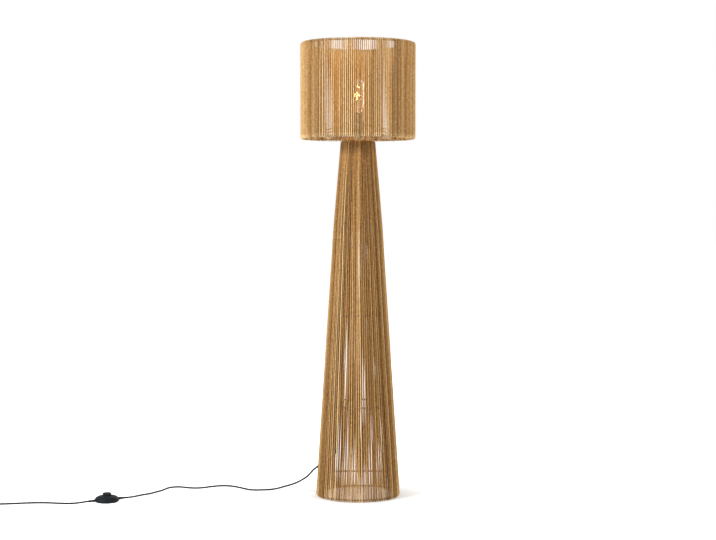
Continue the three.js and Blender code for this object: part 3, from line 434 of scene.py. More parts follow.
patched = mixed(tree, do_math(tree, "MULTIPLY", fibres["Patches"], patch_share),
                ramp.outputs["Color"], (0.62, 0.4, 0.16))
# Painted shade: the grooves between the plies are mixed towards dark brown.
groove_shaded = mixed(tree, do_math(tree, "MULTIPLY", lay["Groove"], groove_painted_shade), patched,
                (0.2, 0.1, 0.04))
cord_height = do_math(tree, "ADD", lay["Height"],
                      do_math(tree, "MULTIPLY", fibres["Strands"], 0.5))
connect(tree, shader.inputs, Base_Color=groove_shaded,
        Roughness=map_range(tree, fibres["Strands"], 0.65, 0.95),
        Normal=bump(tree, cord_height, 0.0005, 0.8))

# %% [markdown]
# The bulb's glass is a real shell with an inner and an outer face, so plain transmission is
# enough; a broad noise makes faint smears of dust on it. The filament gives light of its own.

# %% Glass and filament
finishes["clear_glass"], tree, shader = new_material(
    "clear bulb glass", IOR=1.45, Metallic=0.0, Transmission_Weight=1.0)
smears = noise(tree, object_place(tree), 45, Detail=3)
connect(tree, shader.inputs,
        Base_Color=mixed(tree, smears, (0.98, 0.95, 0.88), (0.95, 0.9, 0.8)),
        Roughness=map_range(tree, smears, 0.005, 0.045))
finishes["filament"], tree, shader = new_material("glowing filament", Roughness=0.5,
                                                  Emission_Strength=6)
connect(tree, shader.inputs, Emission_Color=mixed(
    tree, noise(tree, object_place(tree), 160), (1.0, 0.62, 0.22), (1.0, 0.78, 0.42)))

# %% [markdown]
# Every finished piece ends the same way: its mesh gets smooth faces with sharp creases, the
# material for its slot in the record and the body that it moves with, and it takes the place
# of the plainer solids that it stands for. Turned pieces are drawn as half a section and spun.

# %% Finishing a piece
crease_angle = math.radians(38)


def finish_piece(piece, slot, body, *stands_for):
    piece.data.materials.clear()
    piece.data.materials.append(finishes[slot])
    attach(piece, body)
    if stands_for:
        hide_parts(*stands_for)
    print(f"{piece.name}: {slot}, rides on {body}")
    return piece


def new_mesh(name, bm):
    mesh = bpy.data.meshes.new(name)
    bm.to_mesh(mesh)
    bm.free()
    return mesh


def mesh_piece(name, bm, slot, body, *stands_for, place=None):
    if place is not None:
        bmesh.ops.transform(bm, matrix=place, verts=bm.verts)
    mesh = new_mesh(name, bm)
    mesh.shade_smooth()
    mesh.set_sharp_from_angle(angle=crease_angle)
    return finish_piece(new_object(name, mesh), slot, body, *stands_for)


def wire_piece(name, points, diameter, slot, body, *stands_for):
    mesh = curve_mesh(name, points, diameter, 1)
    return finish_piece(new_object(name, mesh), slot, body, *stands_for)


# %% Helpers for meshes
def spin(bm, geometry, steps):
    """Turns a section once about Z, closes the seam and points the faces outwards."""
    bmesh.ops.spin(bm, geom=geometry, cent=(0, 0, 0), axis=(0, 0, 1), angle=2 * math.pi,
                   steps=steps, use_merge=True, use_duplicate=False)
    bmesh.ops.remove_doubles(bm, verts=bm.verts, dist=1e-6)
    bmesh.ops.recalc_face_normals(bm, faces=bm.faces)


def bevel(bm, edges, width, segments, clamp=False):
    bmesh.ops.bevel(bm, geom=edges, offset=width, offset_type="OFFSET", affect="EDGES",
                    segments=segments, profile=0.5, material=-1, clamp_overlap=clamp)


def draw_out(bm, drawn, way):
    """Moves the vertices that an extrusion has made."""
    bmesh.ops.translate(bm, vec=way, verts=[g for g in drawn["geom"]
                                            if isinstance(g, bmesh.types.BMVert)])


def lathe(outline, segments=64):
    """Spins [radius, height] pairs about Z. An outline off the axis is closed to a wall."""
    bm = bmesh.new()
    corners = [bm.verts.new((r, 0, z)) for r, z in outline]
    pairs = list(zip(corners, corners[1:]))
    if outline[0][0] > 0:
        pairs.append((corners[-1], corners[0]))
    spin(bm, corners + [bm.edges.new(pair) for pair in pairs], segments)
    return bm


def turned(name, outline, slot, body, *stands_for, segments=64, place=None):
    return mesh_piece(name, lathe(outline, segments), slot, body, *stands_for, place=place)


# %% Finish of both flexes
finish_piece(lamp_lead, "black_flex", "lamp", "lamp_lead")
finish_piece(plug_lead, "black_flex", "lamp", "plug_lead", "lead_coil")

# %% [markdown]
# The winding is the heart of the lamp. One cord runs down outside, under the foot ring, up
# inside and over the top ring, again and again, a strand's pitch further each time. A curve
# of the whole way, with a six sided bevel, is light enough for ninety two loops and more.
# Hand winding is uneven, so each run wanders a little, from a seeded list of chances. An
# inner run can stand a little ahead of the outer one beside it, which is its lag, and the
# outer runs can lean, which is their slant. Both decide where light passes between them.

# %% Points of a winding
ring_wire = 0.005


def ring_of(node):
    """Radius and height of a ring's centre line, from the box of its solid."""
    low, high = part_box(node)
    return high[0] - ring_wire / 2, (low[2] + high[2]) / 2


def arc(ring, reach, start, end, turn_start, turn_end, steps):
    made = []
    for k in range(steps + 1):
        share = k / steps
        angle = start + (end - start) * share
        made.append((ring[0] + reach * math.cos(angle), ring[1] + reach * math.sin(angle),
                     turn_start + (turn_end - turn_start) * share))
    return made


def run(start, end, shares, sway, bend=None):
    """Points of a straight run between two stations, which sways a little sideways."""
    made = []
    for share in shares:
        r, z, turn = (a + (b - a) * share for a, b in zip(start, end))
        if bend:
            r = bend(z)
        made.append((r, z, turn + sway * math.sin(math.pi * share)))
    return made


foot_ring = ring_of("column_bottom_ring")
print("radius and height of the foot ring:", [round(c, 4) for c in foot_ring])

# %% Ways round struts and bush
strut_clearance = 0.0036


def beside_struts(middle, turn, radius):
    """Keeps the end of an inner run on the side of the nearest strut where its middle is."""
    nearest = math.pi / 4 + round((middle - math.pi / 4) / (math.pi / 2)) * math.pi / 2
    side = math.copysign(1, middle - nearest)
    away = max((turn - nearest) * side, 0)
    return nearest + side * math.hypot(away, strut_clearance / radius)


exit_clearance, exit_spread, exit_reach, least_closeness = 0.0046, 0.1, 0.5, 0.01


def beside_bush(r, z, turn):
    """Parts both runs round the bush at the left, more the nearer they come to it."""
    away = turn % (2 * math.pi) - math.pi
    closeness = math.exp(-((z - exit_middle.z) / exit_spread) ** 2)
    if abs(away) > exit_reach or closeness < least_closeness:
        return turn
    return turn - away + math.copysign(math.hypot(away, exit_clearance * closeness / r), away)


# %% The whole way of a cord
start_turn = math.pi / 4
# The loops under the foot ring are painted 1.4 times lighter: painted light on their undersides.
bend_steps, bend_painted_light = 4, 1.4


def wind(count, foot, head, reach, lags, jitters, sway, slant, outer_bend, out_shares,
         in_shares, tone_of, inner_painted_shade, seed):
    """Lags and jitters are pairs, for the foot and the head, and like the sway and the slant
    they are in pitches. The shares tell where along a run its points stand."""
    chance = random.Random(seed)
    pitch = 2 * math.pi / count

    def near(turn, jitter):
        return turn + chance.uniform(-1, 1) * jitter * pitch

    places = [start_turn + i * pitch for i in range(count + 1)]
    outer_foot = [near(turn, jitters[0]) for turn in places]
    outer_head = [near(turn + slant * pitch, jitters[1]) for turn in places]
    made, strand = [], []
    for i in range(count):
        ends = [near(places[i] + (lag(places[i]) + lean) * pitch, jitter)
                for lag, lean, jitter in zip(lags, (0, slant), jitters)]
        sways = [near(0, sway), near(0, sway)]
        # Inner runs are painted darker by a factor: painted shade inside the winding.
        tones = [tone_of(chance), tone_of(chance) * inner_painted_shade]
        inner_foot = beside_struts(sum(ends) / 2, ends[0], foot[0] - reach)
        inner_head = beside_struts(sum(ends) / 2, ends[1], head[0] - reach)
        under = arc(foot, reach, 0, -math.pi, outer_foot[i], inner_foot, bend_steps)
        over = arc(head, reach, math.pi, 0, inner_head, outer_head[i + 1], bend_steps)
        top = (head[0] + reach, head[1], outer_head[i])
        down = [top] if i == 0 else []
        down += run(top, under[0], out_shares, sways[0], outer_bend)
        up = run(under[-1], over[0], in_shares, sways[1])
        for part, tone in ((down, tones[0]), (under, tones[0] * bend_painted_light), (up, tones[1]),
                           (over, tones[0])):
            made += part
            strand += [tone] * len(part)
    made = [(r, z, beside_bush(r, z, turn)) for r, z, turn in made]
    points = [(r * math.cos(t), r * math.sin(t), z) for r, z, t in made]
    return points, strand


# %% [markdown]
# After the curve becomes a mesh, each point gets its strand's tone, and the first UV
# coordinate becomes real metres along the cord, so that the lay has the same size on the
# short bends as on the long runs.

# %% Winding made a mesh
def wound_piece(name, points, strand, diameter, nodes):
    sides = 6
    mesh = curve_mesh(name, points, diameter, sides // 2 - 2)
    caps = len(mesh.vertices) - sides * len(points)

    def by_vertex(values):
        return np.concatenate([np.repeat([values[0], values[-1]], caps // 2),
                               np.repeat(values, sides)])

    steps = np.linalg.norm(np.diff(np.array(points), axis=0), axis=1)
    along = by_vertex(np.concatenate([[0], np.cumsum(steps)]))
    mesh.attributes.new("strand", "FLOAT", "POINT").data.foreach_set(
        "value", by_vertex(strand).astype(np.float32))
    corners = np.zeros(len(mesh.loops), dtype=np.int32)
    mesh.loops.foreach_get("vertex_index", corners)
    layer = mesh.uv_layers[0].uv
    uv = np.zeros(2 * len(corners), dtype=np.float32)
    layer.foreach_get("vector", uv)
    uv[0::2] = along[corners]
    layer.foreach_set("vector", uv)
    print(name, "is", round(float(along[-1]), 1), "m of cord,", len(mesh.polygons), "faces")
    finish_piece(new_object(name, mesh), "twisted_cord", "lamp", *nodes)


# %% [markdown]
# The column has ninety two strands and the shade a hundred and seventy six. The column's
# side is a broken line: it leans in a little more above the waist than below it.

# %% Side of the column, and lags
column_cord_diameter, shade_cord_diameter = 0.0035, 0.0032
wrap_depth = 0.00655
foot_radius, waist_radius, neck_radius = 0.1325, 0.0765, 0.054
waist_height, column_height = 0.856, 1.118


def column_side(z):
    if z < waist_height:
        share = z / waist_height
        return foot_radius + (waist_radius - foot_radius) * share - column_cord_diameter / 2
    share = (z - waist_height) / (column_height - waist_height)
    return waist_radius + (neck_radius - waist_radius) * share - column_cord_diameter / 2


def lag_by_bearing(*stations):
    """A lag from [degrees, pitches] stations; the front is 0 and the right side is 90."""
    bearings = [bearing for bearing, _ in stations]
    pitches = [pitch for _, pitch in stations]
    return lambda turn: float(np.interp((math.degrees(turn) + 90) % 360, bearings, pitches,
                                        period=360))


print("radius of the column one metre up:", round(column_side(1), 4))


# %% [markdown]
# At the foot the inner runs stand between the outer ones as seen from the front and the back,
# and right behind them at the bush. Further up all of them lean, so that open and closed
# zones follow each other, as the photograph shows. Towards the neck the cord is painted
# darker: painted shade where the drum shade above keeps light off the column.

# %% Column winding
column_lags = (lag_by_bearing((0, -0.6), (20, -0.24), (40, 0.24), (140, -1.44), (160, -0.96),
                              (180, -0.6), (200, -0.24), (220, 0.24), (245, 0), (279, 0),
                              (320, -1.44), (340, -0.96)),
               lag_by_bearing((0, 1.73)))
# Inner runs of the column carry painted shade: three quarters of their tone.
column_points, column_tones = wind(
    count=92, foot=foot_ring, head=ring_of("column_top_ring"),
    reach=wrap_depth - column_cord_diameter / 2, lags=column_lags, jitters=(0.05, 0.2),
    sway=0.14, slant=-0.8, outer_bend=column_side,
    out_shares=(0.1, 0.235, 0.4, 0.6, 0.78, 0.86, 0.915, 0.96),
    in_shares=(0.04, 0.08, 0.14, 0.24, 0.5, 0.75),
    tone_of=lambda chance: chance.betavariate(1.3, 1.7), inner_painted_shade=0.75, seed=11)
# Painted shade: the tones get darker towards the neck, under the drum shade.
neck_start, neck_painted_shade = 0.7, 1.2
column_tones = [tone ** (1 + neck_painted_shade * max(point[2] - neck_start, 0)
                         / (column_height - neck_start))
                for tone, point in zip(column_tones, column_points)]
wound_piece("column_cord", column_points, column_tones, column_cord_diameter,
            [f"column_winding_{k + 1}" for k in range(8)])

# %% [markdown]
# On the shade the inner runs stand close behind the outer ones, except at the middle of the
# back, where they fill the gaps and keep the daylight out of the middle of the picture.

# %% Shade winding
shade_back = (155, -0.22), (165, 0.085), (180, 0.5), (195, 0.915), (205, 1.22)
shade_lags = [lag_by_bearing((0, lag), (147, lag), *shade_back, (213, 1 + lag), (240, 1 + lag),
                             (290, lag)) for lag in (0.03, 0.3)]
# Inner runs of the shade carry deep painted shade, 0.38 of their tone, which darkens the gaps.
shade_points, shade_tones = wind(
    count=176, foot=ring_of("shade_bottom_ring"), head=ring_of("shade_top_ring"),
    reach=wrap_depth - shade_cord_diameter / 2, lags=shade_lags, jitters=(0.05, 0.05),
    sway=0.06, slant=0, outer_bend=None, out_shares=(0.33, 0.67, 0.97),
    in_shares=(0.03, 0.33, 0.67), tone_of=lambda chance: chance.betavariate(4.3, 2.6),
    inner_painted_shade=0.38, seed=23)
wound_piece("shade_cord", shade_points, shade_tones, shade_cord_diameter,
            [f"shade_winding_{k + 1}" for k in range(8)])

# %% [markdown]
# The frame's rings and hoops are round wire. A circle of wire section is spun about the
# lamp's axis, which gives a clean ring with its seam closed.

# %% Rings and hoops
def wire_ring(node):
    radius, height = ring_of(node)
    bm = bmesh.new()
    place = Matrix.Translation((radius, 0, height)) @ Matrix.Rotation(math.pi / 2, 4, "X")
    section = bmesh.ops.create_circle(bm, segments=12, radius=ring_wire / 2, matrix=place)
    edges = list({e for v in section["verts"] for e in v.link_edges})
    spin(bm, section["verts"] + edges, 96)
    return mesh_piece(node + "_wire", bm, "frame_wire", "lamp", node)


for node in ("column_bottom_ring", "column_low_hoop", "column_middle_hoop", "column_high_hoop",
             "column_top_ring", "shade_bottom_ring", "shade_top_ring"):
    wire_ring(node)

# %% [markdown]
# The section of a turned part is made of a few shapes that come back: a quarter of an ellipse
# for a shoulder, a disc with broken edges, and a short wave for the grooves of a screw thread
# or a ribbed sleeve. At this size nobody sees that a real thread climbs, so level rings are
# enough.

# %% Helpers for sections
MM = 0.001


def mm(*pairs, base=0):
    """Pairs of millimetres; the second of each counts from the base, which is in metres."""
    return [(a * MM, base + b * MM) for a, b in pairs]


def heights(node):
    low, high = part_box(node)
    return low[2], high[2]


def quarter_turn(steps):
    """Sines and cosines of the angles from zero to a right angle."""
    return [(math.sin(a), math.cos(a)) for a in (math.pi / 2 * k / steps
                                                 for k in range(steps + 1))]


def quarter(radius_from, radius_to, low, high, steps):
    """A quarter of an ellipse, from level at the first radius to upright at the second."""
    return [(radius_from + (radius_to - radius_from) * s, low + (high - low) * (1 - c))
            for s, c in quarter_turn(steps)]


def disc_edge(radius, low, high, broken):
    return [(radius - broken, low), (radius, low + broken), (radius, high - broken),
            (radius - broken, high)]


def grooves(radius_from, radius_to, low, high, count, depth, steps=6):
    """A wavy stretch of section with count rounded grooves, between two radii."""
    made = []
    for k in range(count * steps + 1):
        share = k / (count * steps)
        dip = depth * (1 - math.cos(2 * math.pi * k / steps)) / 2
        made.append((radius_from + (radius_to - radius_from) * share - dip,
                     low + (high - low) * share))
    return made


# %% [markdown]
# The lampholder is two mouldings of brown phenolic: a domed cap below and a body above it,
# whose outer thread takes the ring that clamps the shade. The open socket stands over it.

# %% Lampholder cap
cap_foot, cap_top = heights("lampholder_cap")
print("the cap stands from", round(cap_foot, 4), "to", round(cap_top, 4))
holder_radius, cap_wall, crown_height = 18 * MM, 2 * MM, 12 * MM
cap_bore, crown_radius = 5.3 * MM, 8 * MM
cap_outside = quarter(crown_radius, holder_radius, cap_foot, cap_foot + crown_height, 12)
cap_inside = quarter(crown_radius - cap_wall, holder_radius - cap_wall, cap_foot + cap_wall,
                     cap_foot + cap_wall + crown_height, 12)
bead_foot = cap_top - 5 * MM
cap_outline = [(cap_bore, cap_foot), *cap_outside,
               *grooves(holder_radius, holder_radius, bead_foot, bead_foot + 3 * MM, 2,
                        0.5 * MM),
               (holder_radius, cap_top), (holder_radius - cap_wall, cap_top),
               *reversed(cap_inside), (cap_bore, cap_foot + cap_wall)]
turned("holder_cap", cap_outline, "holder_plastic", "lamp", "lampholder_cap")

# %% Lampholder body
body_foot, body_top = heights("lampholder_body")
flange_radius, flange_top = 21.5 * MM, body_foot + 3 * MM
thread_radius, thread_top = 17 * MM, body_foot + 18 * MM
skirt_radius, socket_radius, seat_radius = 15.75 * MM, 14 * MM, 10.5 * MM
body_outline = [(seat_radius, body_foot),
                *disc_edge(flange_radius, body_foot, flange_top, 0.6 * MM),
                (thread_radius, flange_top),
                *grooves(thread_radius, thread_radius, flange_top, thread_top, 6, 0.8 * MM, 8),
                (skirt_radius, thread_top), (skirt_radius, body_top - 0.5 * MM),
                (skirt_radius - 0.5 * MM, body_top), (socket_radius, body_top),
                (socket_radius, flange_top), (seat_radius, flange_top)]
turned("holder_body", body_outline, "holder_plastic", "lamp", "lampholder_body")

# %% [markdown]
# A threaded tube carries the lampholder on the frame. Its thick middle is a plain spacer,
# and the thread shows below the bracket, where the nut grips it.

# %% Threaded tube
tube_foot, tube_head = heights("nipple_tube")
tube_radius, tube_bore, spacer_radius = 5 * MM, 3.8 * MM, 8 * MM
spacer_foot, spacer_top = heights("lampholder_bracket")[1] + 0.3 * MM, cap_foot - 0.3 * MM
tube_outline = [(tube_bore, tube_foot), (tube_radius - 0.4 * MM, tube_foot),
                *grooves(tube_radius, tube_radius, tube_foot + 0.5 * MM, tube_foot + 10.5 * MM,
                         10, 0.5 * MM),
                (tube_radius, spacer_foot),
                *disc_edge(spacer_radius, spacer_foot, spacer_top, 0.6 * MM),
                (tube_radius, spacer_top), (tube_radius, tube_head), (tube_bore, tube_head)]
turned("threaded_tube", tube_outline, "zinc_steel", "lamp", "nipple_tube", segments=48)

# %% [markdown]
# Fingers turn the clamp ring, so its rim has ribs. Every third column of the spun mesh is
# pressed in a little, which leaves broad ribs with narrow grooves between them.

# %% Clamp ring
ring_foot, ring_top = heights("shade_clamp_ring")
ring_outer, ring_bore, ring_edge = 22.5 * MM, 17.3 * MM, 0.8 * MM
rib_columns, rib_depth = 96, 0.7 * MM
bm = lathe([(ring_bore, ring_foot), *disc_edge(ring_outer, ring_foot, ring_top, ring_edge),
            (ring_bore, ring_top)], rib_columns)
for v in bm.verts:
    column = round(math.atan2(v.co.y, v.co.x) / (2 * math.pi) * rib_columns)
    if math.hypot(v.co.x, v.co.y) > ring_outer - 0.1 * MM and column % 3 == 0:
        v.co.x *= 1 - rib_depth / ring_outer
        v.co.y *= 1 - rib_depth / ring_outer
mesh_piece("holder_clamp_ring", bm, "holder_plastic", "lamp", "shade_clamp_ring")

# %% [markdown]
# The spider that carries the shade is a flat ring with four bent arms of steel strip. Each
# arm starts as its middle line; its two bends are rounded by a bevel, it is drawn out to its
# width and then given its thickness.

# %% Shade spider
arm_foot = heights("shade_spider")[0]
strip_thickness, strip_width, hub_radius = 2.5 * MM, 7 * MM, 25 * MM
sharp_angle = math.radians(40)
arm_reach = math.hypot(*(sum(c[i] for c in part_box("shade_strut_1")) / 2 for i in (0, 1))) \
    - 2.3 * MM
arm_low = arm_foot + strip_thickness / 2
hub_level = body_foot + 3.3 * MM + strip_thickness / 2
hub_low, hub_high = hub_level - strip_thickness / 2, hub_level + strip_thickness / 2
spider = lathe([(ring_bore, hub_low), (hub_radius, hub_low), (hub_radius, hub_high),
                (ring_bore, hub_high)], 72)
for turn in (45, 135, 225, 315):
    arm = bmesh.new()
    line = [(hub_radius - 3 * MM, hub_level), (hub_radius + 12 * MM, hub_level),
            (arm_reach - 12 * MM, arm_low), (arm_reach, arm_low)]
    ends = [arm.verts.new((r, -strip_width / 2, z)) for r, z in line]
    edges = [arm.edges.new(pair) for pair in zip(ends, ends[1:])]
    draw_out(arm, bmesh.ops.extrude_edge_only(arm, edges=edges), (0, strip_width, 0))
    bevel(arm, [e for e in arm.edges if len(e.link_faces) == 2], 5 * MM, 6)
    bmesh.ops.recalc_face_normals(arm, faces=arm.faces)
    bmesh.ops.solidify(arm, geom=arm.faces, thickness=strip_thickness)
    bevel(arm, [e for e in arm.edges
                if len(e.link_faces) == 2 and e.calc_face_angle() > sharp_angle],
          0.4 * MM, 2, clamp=True)
    bmesh.ops.transform(arm, matrix=Matrix.Rotation(math.radians(turn), 4, "Z"),
                        verts=arm.verts)
    part_mesh = new_mesh("arm", arm)
    spider.from_mesh(part_mesh)
    bpy.data.meshes.remove(part_mesh)
bmesh.ops.recalc_face_normals(spider, faces=spider.faces)
mesh_piece("spider_strip", spider, "frame_wire", "lamp", "shade_spider")

# %% [markdown]
# The bulb is the common screw type. Its cap is thin metal rolled into a thread, with a dark
# glass insulator and a middle contact at the foot. Everything on the bulb rides on the bulb,
# because it can be drawn out of its socket.

# %% Bulb cap
tip_foot, screw_top = heights("bulb_cap")
tip_radius, screw_radius, shell_wall = 5.5 * MM, 13.2 * MM, 1 * MM
screw_foot = tip_foot + 2.5 * MM
shell_side = screw_radius - 0.3 * MM
shell_outline = [(screw_radius - 2 * MM, screw_foot),
                 (screw_radius - 0.4 * MM, screw_foot + 2 * MM),
                 *grooves(screw_radius, screw_radius, screw_foot + 2.2 * MM,
                          screw_top - 5 * MM, 5, 0.7 * MM, 8),
                 (shell_side, screw_top - 4 * MM), (shell_side, screw_top),
                 (screw_radius - shell_wall, screw_top),
                 (screw_radius - shell_wall, screw_foot + 2.4 * MM)]
turned("bulb_screw_shell", shell_outline, "plated_brass", "bulb", "bulb_cap")
insulator_outline = [(tip_radius - 1 * MM, tip_foot + 0.6 * MM),
                     (tip_radius, tip_foot + 0.6 * MM),
                     (screw_radius - 2 * MM, screw_foot + 0.1 * MM),
                     (screw_radius - 2.2 * MM, screw_foot + 2.2 * MM),
                     (tip_radius - 1 * MM, screw_foot + 2.2 * MM)]
turned("bulb_insulator", insulator_outline, "black_plastic", "bulb")
contact_outline = mm((0, 0), (3.6, 0.2), (4.4, 0.7), (4.4, 1.4), (0, 1.4), base=tip_foot)
turned("bulb_contact", contact_outline, "plated_brass", "bulb", segments=32)

# %% [markdown]
# The glass is a tube with a round head and a drawn-in neck. Inner and outer faces are a
# millimetre apart, so that light bends in it as in a real bulb.

# %% Bulb glass
bulb_radius, glass_wall = 19 * MM, 1 * MM
glass_neck = screw_radius - shell_wall - 0.3 * MM
glass_foot, bulb_top = heights("bulb_glass")
belly = screw_top + 26 * MM


def glass_side(inset):
    radius, neck = bulb_radius - inset, glass_neck - inset
    made = [(neck, glass_foot)]
    for k in range(13):
        ease = (1 - math.cos(math.pi * k / 12)) / 2
        made.append((neck + (radius - neck) * ease, screw_top + (belly - screw_top) * k / 12))
    for s, c in quarter_turn(16)[:-1]:
        made.append((radius * c, bulb_top - bulb_radius + radius * s))
    return [*made, (0, bulb_top - inset)]


glass = turned("bulb_envelope", [*reversed(glass_side(glass_wall)), *glass_side(0)],
               "clear_glass", "bulb", "bulb_glass")
glass.visible_shadow = False

# %% Glass stem
stem_foot, stem_top = heights("bulb_stem")
stem_outline = [*mm((0, 0), (9, 0), (10.4, 0.6), base=stem_foot),
                *[(10.6 * MM - 8.6 * MM * s, stem_foot + 1 * MM + 14 * MM * (1 - c))
                  for s, c in quarter_turn(8)],
                *mm((2, -4), (3.4, -2.4), (3.6, -1), (2.4, 0), (0, 0), base=stem_top)]
turned("bulb_glass_stem", stem_outline, "clear_glass", "bulb", "bulb_stem", segments=48)

# %% [markdown]
# The filament is one thin glowing wire that goes up and down between hooks, and sags a little
# between them. Through the cords the photograph shows the bright dashes of its long legs,
# which lean together at the top.

# %% Filament and its supports
filament_wire = 0.9 * MM
zigzag = [(8, 3, 1240), (8.5, -4.5, 1277), (-1.5, -5, 1291), (-12.5, -1.5, 1250),
          (-2.5, -5.5, 1268), (-4, 4, 1244), (3, 5.5, 1262), (9, 3, 1246)]
zigzag_points = [Vector(p) * MM for p in zigzag]
leg_steps, leg_sag = 8, 0.8 * MM
filament_lines = []
for a, b in zip(zigzag_points, zigzag_points[1:]):
    filament_lines += [a.lerp(b, k / leg_steps)
                       - Vector((0, 0, leg_sag * math.sin(math.pi * k / leg_steps)))
                       for k in range(leg_steps)]
filament_lines.append(zigzag_points[-1])
wire_piece("filament_zigzag", filament_lines, filament_wire, "filament", "bulb", "bulb_filament")
for k, hook in enumerate(zigzag_points):
    root = Vector((hook.x * 0.2, hook.y * 0.2, stem_top - 2 * MM))
    bend = Vector((hook.x * 0.55, hook.y * 0.55, (stem_top + hook.z) / 2))
    wire_piece(f"filament_hook_{k + 1}", [root, bend, hook], 0.4 * MM, "spring_steel", "bulb")

# %% [markdown]
# The foot switch is a lens of black plastic with a flat collar, out of which a broad round
# button stands. A fine gap runs between the cover and the base.

# %% Switch cover
switch_place = Matrix.Translation((switch_middle.x, switch_middle.y, 0)) \
    @ Matrix.Rotation(switch_turn, 4, "Z")
switch_radius, dome_foot, dome_top = 37.5 * MM, 6.5 * MM, 20 * MM
collar_radius, button_bore, cover_foot = 16.5 * MM, 13.3 * MM, 1.9 * MM


def dome(inset):
    inner = button_bore if inset else collar_radius
    return [(inner + (switch_radius - inset - inner) * c,
             dome_foot + (dome_top - inset - dome_foot) * s) for s, c in quarter_turn(20)]


cover_outline = [(switch_radius - 3.9 * MM, cover_foot), (switch_radius - 2.2 * MM, cover_foot),
                 (switch_radius - 1.4 * MM, cover_foot + 0.8 * MM),
                 (switch_radius - 0.4 * MM, dome_foot - 1.8 * MM), *dome(0),
                 (button_bore + 0.4 * MM, dome_top), (button_bore, dome_top - 0.4 * MM),
                 *reversed(dome(2 * MM))]
turned("switch_shell", cover_outline, "black_plastic", "lamp", "switch_cover", segments=96,
       place=switch_place)

# %% Switch base
switch_foot_outline = [(0, 0), (switch_radius - 4.4 * MM, 0),
                       (switch_radius - 3.8 * MM, 0.3 * MM),
                       (switch_radius - 1.9 * MM, 1.6 * MM),
                       *mm((4.5, 1.6), (4.5, 6), (4, 6.6), (0, 6.6))]
turned("switch_foot", switch_foot_outline, "black_plastic", "lamp", "switch_base", segments=96,
       place=switch_place)

# %% Switch button
button_radius, button_top, button_ceiling = 13 * MM, 28 * MM, 25.6 * MM
button_foot, flange_head, button_flange = 15.8 * MM, 17.4 * MM, 15.5 * MM
button_bore_radius, button_edge = button_radius - 2.4 * MM, 1.4 * MM
button_outline = [(0, button_ceiling), (button_bore_radius, button_ceiling),
                  (button_bore_radius, button_foot), (button_flange, button_foot),
                  (button_flange, flange_head), (button_radius, flange_head),
                  (button_radius, button_top - button_edge),
                  *[(button_radius - button_edge * (1 - c), button_top - button_edge * (1 - s))
                    for s, c in quarter_turn(5)[1:]],
                  (button_radius - 2.6 * MM, button_top),
                  (button_radius - 3.4 * MM, button_top - 0.5 * MM),
                  (0, button_top - 0.6 * MM)]
turned("switch_push_button", button_outline, "black_plastic", "foot_button", "switch_button",
       segments=72, place=switch_place)

# %% [markdown]
# A coil spring stands under the button and pushes it back up. Pressing the button shortens
# the spring by the button's four millimetres, which is a squash along its height.

# %% Switch spring
spring_low, spring_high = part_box("switch_spring")
spring_radius, spring_wire, spring_curls, press_travel = 6 * MM, 1.2 * MM, 6, 4 * MM
curl_steps, flat_curl = 24, 0.75
spring_height = spring_high[2] - spring_low[2]
spring_line = []
for k in range(spring_curls * curl_steps + 1):
    turns = k / curl_steps
    climb = min(max((turns - flat_curl) / (spring_curls - 2 * flat_curl), 0), 1)
    level = spring_wire / 2 * (1 + min(turns, flat_curl)
                               + max(turns - spring_curls + flat_curl, 0))
    height = level + climb * (spring_height - spring_wire * 1.75)
    angle = 2 * math.pi * turns
    spring_line.append(switch_place @ Vector((spring_radius * math.cos(angle),
                                              spring_radius * math.sin(angle),
                                              spring_low[2] + height)))
spring = wire_piece("switch_coil_spring", spring_line, spring_wire, "spring_steel", "lamp",
                    "switch_spring")
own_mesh(spring)
print("spring stands from", round(min(p.z for p in spring_line) - spring_wire / 2, 5), "to",
      round(max(p.z for p in spring_line) + spring_wire / 2, 5))

# %% [markdown]
# Each end of the switch, the hole in the column and the plug hold the flex in a tapered
# rubber sleeve. Grooves round the sleeve let it bend without a kink, and its lip reaches a
# little way over the flex, so that no gap shows.

# %% Reliefs of the switch
along_x = Matrix.Rotation(math.pi / 2, 4, "Y")
relief_start, relief_length = 37.8 * MM, 20 * MM
sleeve_lip, sleeve_bore = 1.2 * MM, 2.78 * MM
sleeve_end = relief_start + relief_length
relief_outline = [*mm((0, -2), (3.5, -2), (3.5, 0), (4.1, 0), (4.4, 0.4), (4.4, 3.4),
                      base=relief_start),
                  *grooves(4.3 * MM, 3.4 * MM, relief_start + 4 * MM, sleeve_end - 2 * MM, 5,
                           0.8 * MM),
                  (3.3 * MM, sleeve_end + 0.7 * MM), (3.1 * MM, sleeve_end + sleeve_lip),
                  (sleeve_bore, sleeve_end + sleeve_lip), (sleeve_bore, sleeve_end),
                  (0, sleeve_end)]
for side, turn in (("lamp", 0), ("plug", math.pi)):
    place = switch_place @ Matrix.Translation((0, 0, switch_middle.z)) \
        @ Matrix.Rotation(turn, 4, "Z") @ along_x
    turned(f"relief_{side}_side", relief_outline, "black_rubber", "lamp",
           f"switch_relief_{side}_side", segments=32, place=place)

# %% Bush in the column
bush_outline = [*mm((3.05, -12), (3.9, -12), (4.2, -11.6), (4.2, 2)),
                *grooves(4.2 * MM, 3.7 * MM, 2.5 * MM, 10.5 * MM, 3, 0.4 * MM),
                *mm((3.5, 12), (3.05, 12))]
bush_place = Matrix.Translation(exit_middle) \
    @ exit_way.to_track_quat("Z", "Y").to_matrix().to_4x4()
turned("column_bush", bush_outline, "black_rubber", "lamp", "flex_bush", segments=32,
       place=bush_place)

# %% [markdown]
# The plug is one moulding with rounded sides, gripped by a thumb and finger, and a ribbed
# neck. Its outline is a few points; it is drawn out to its thickness and its edges are
# rounded. Two pins stand in it, sleeved near the body.

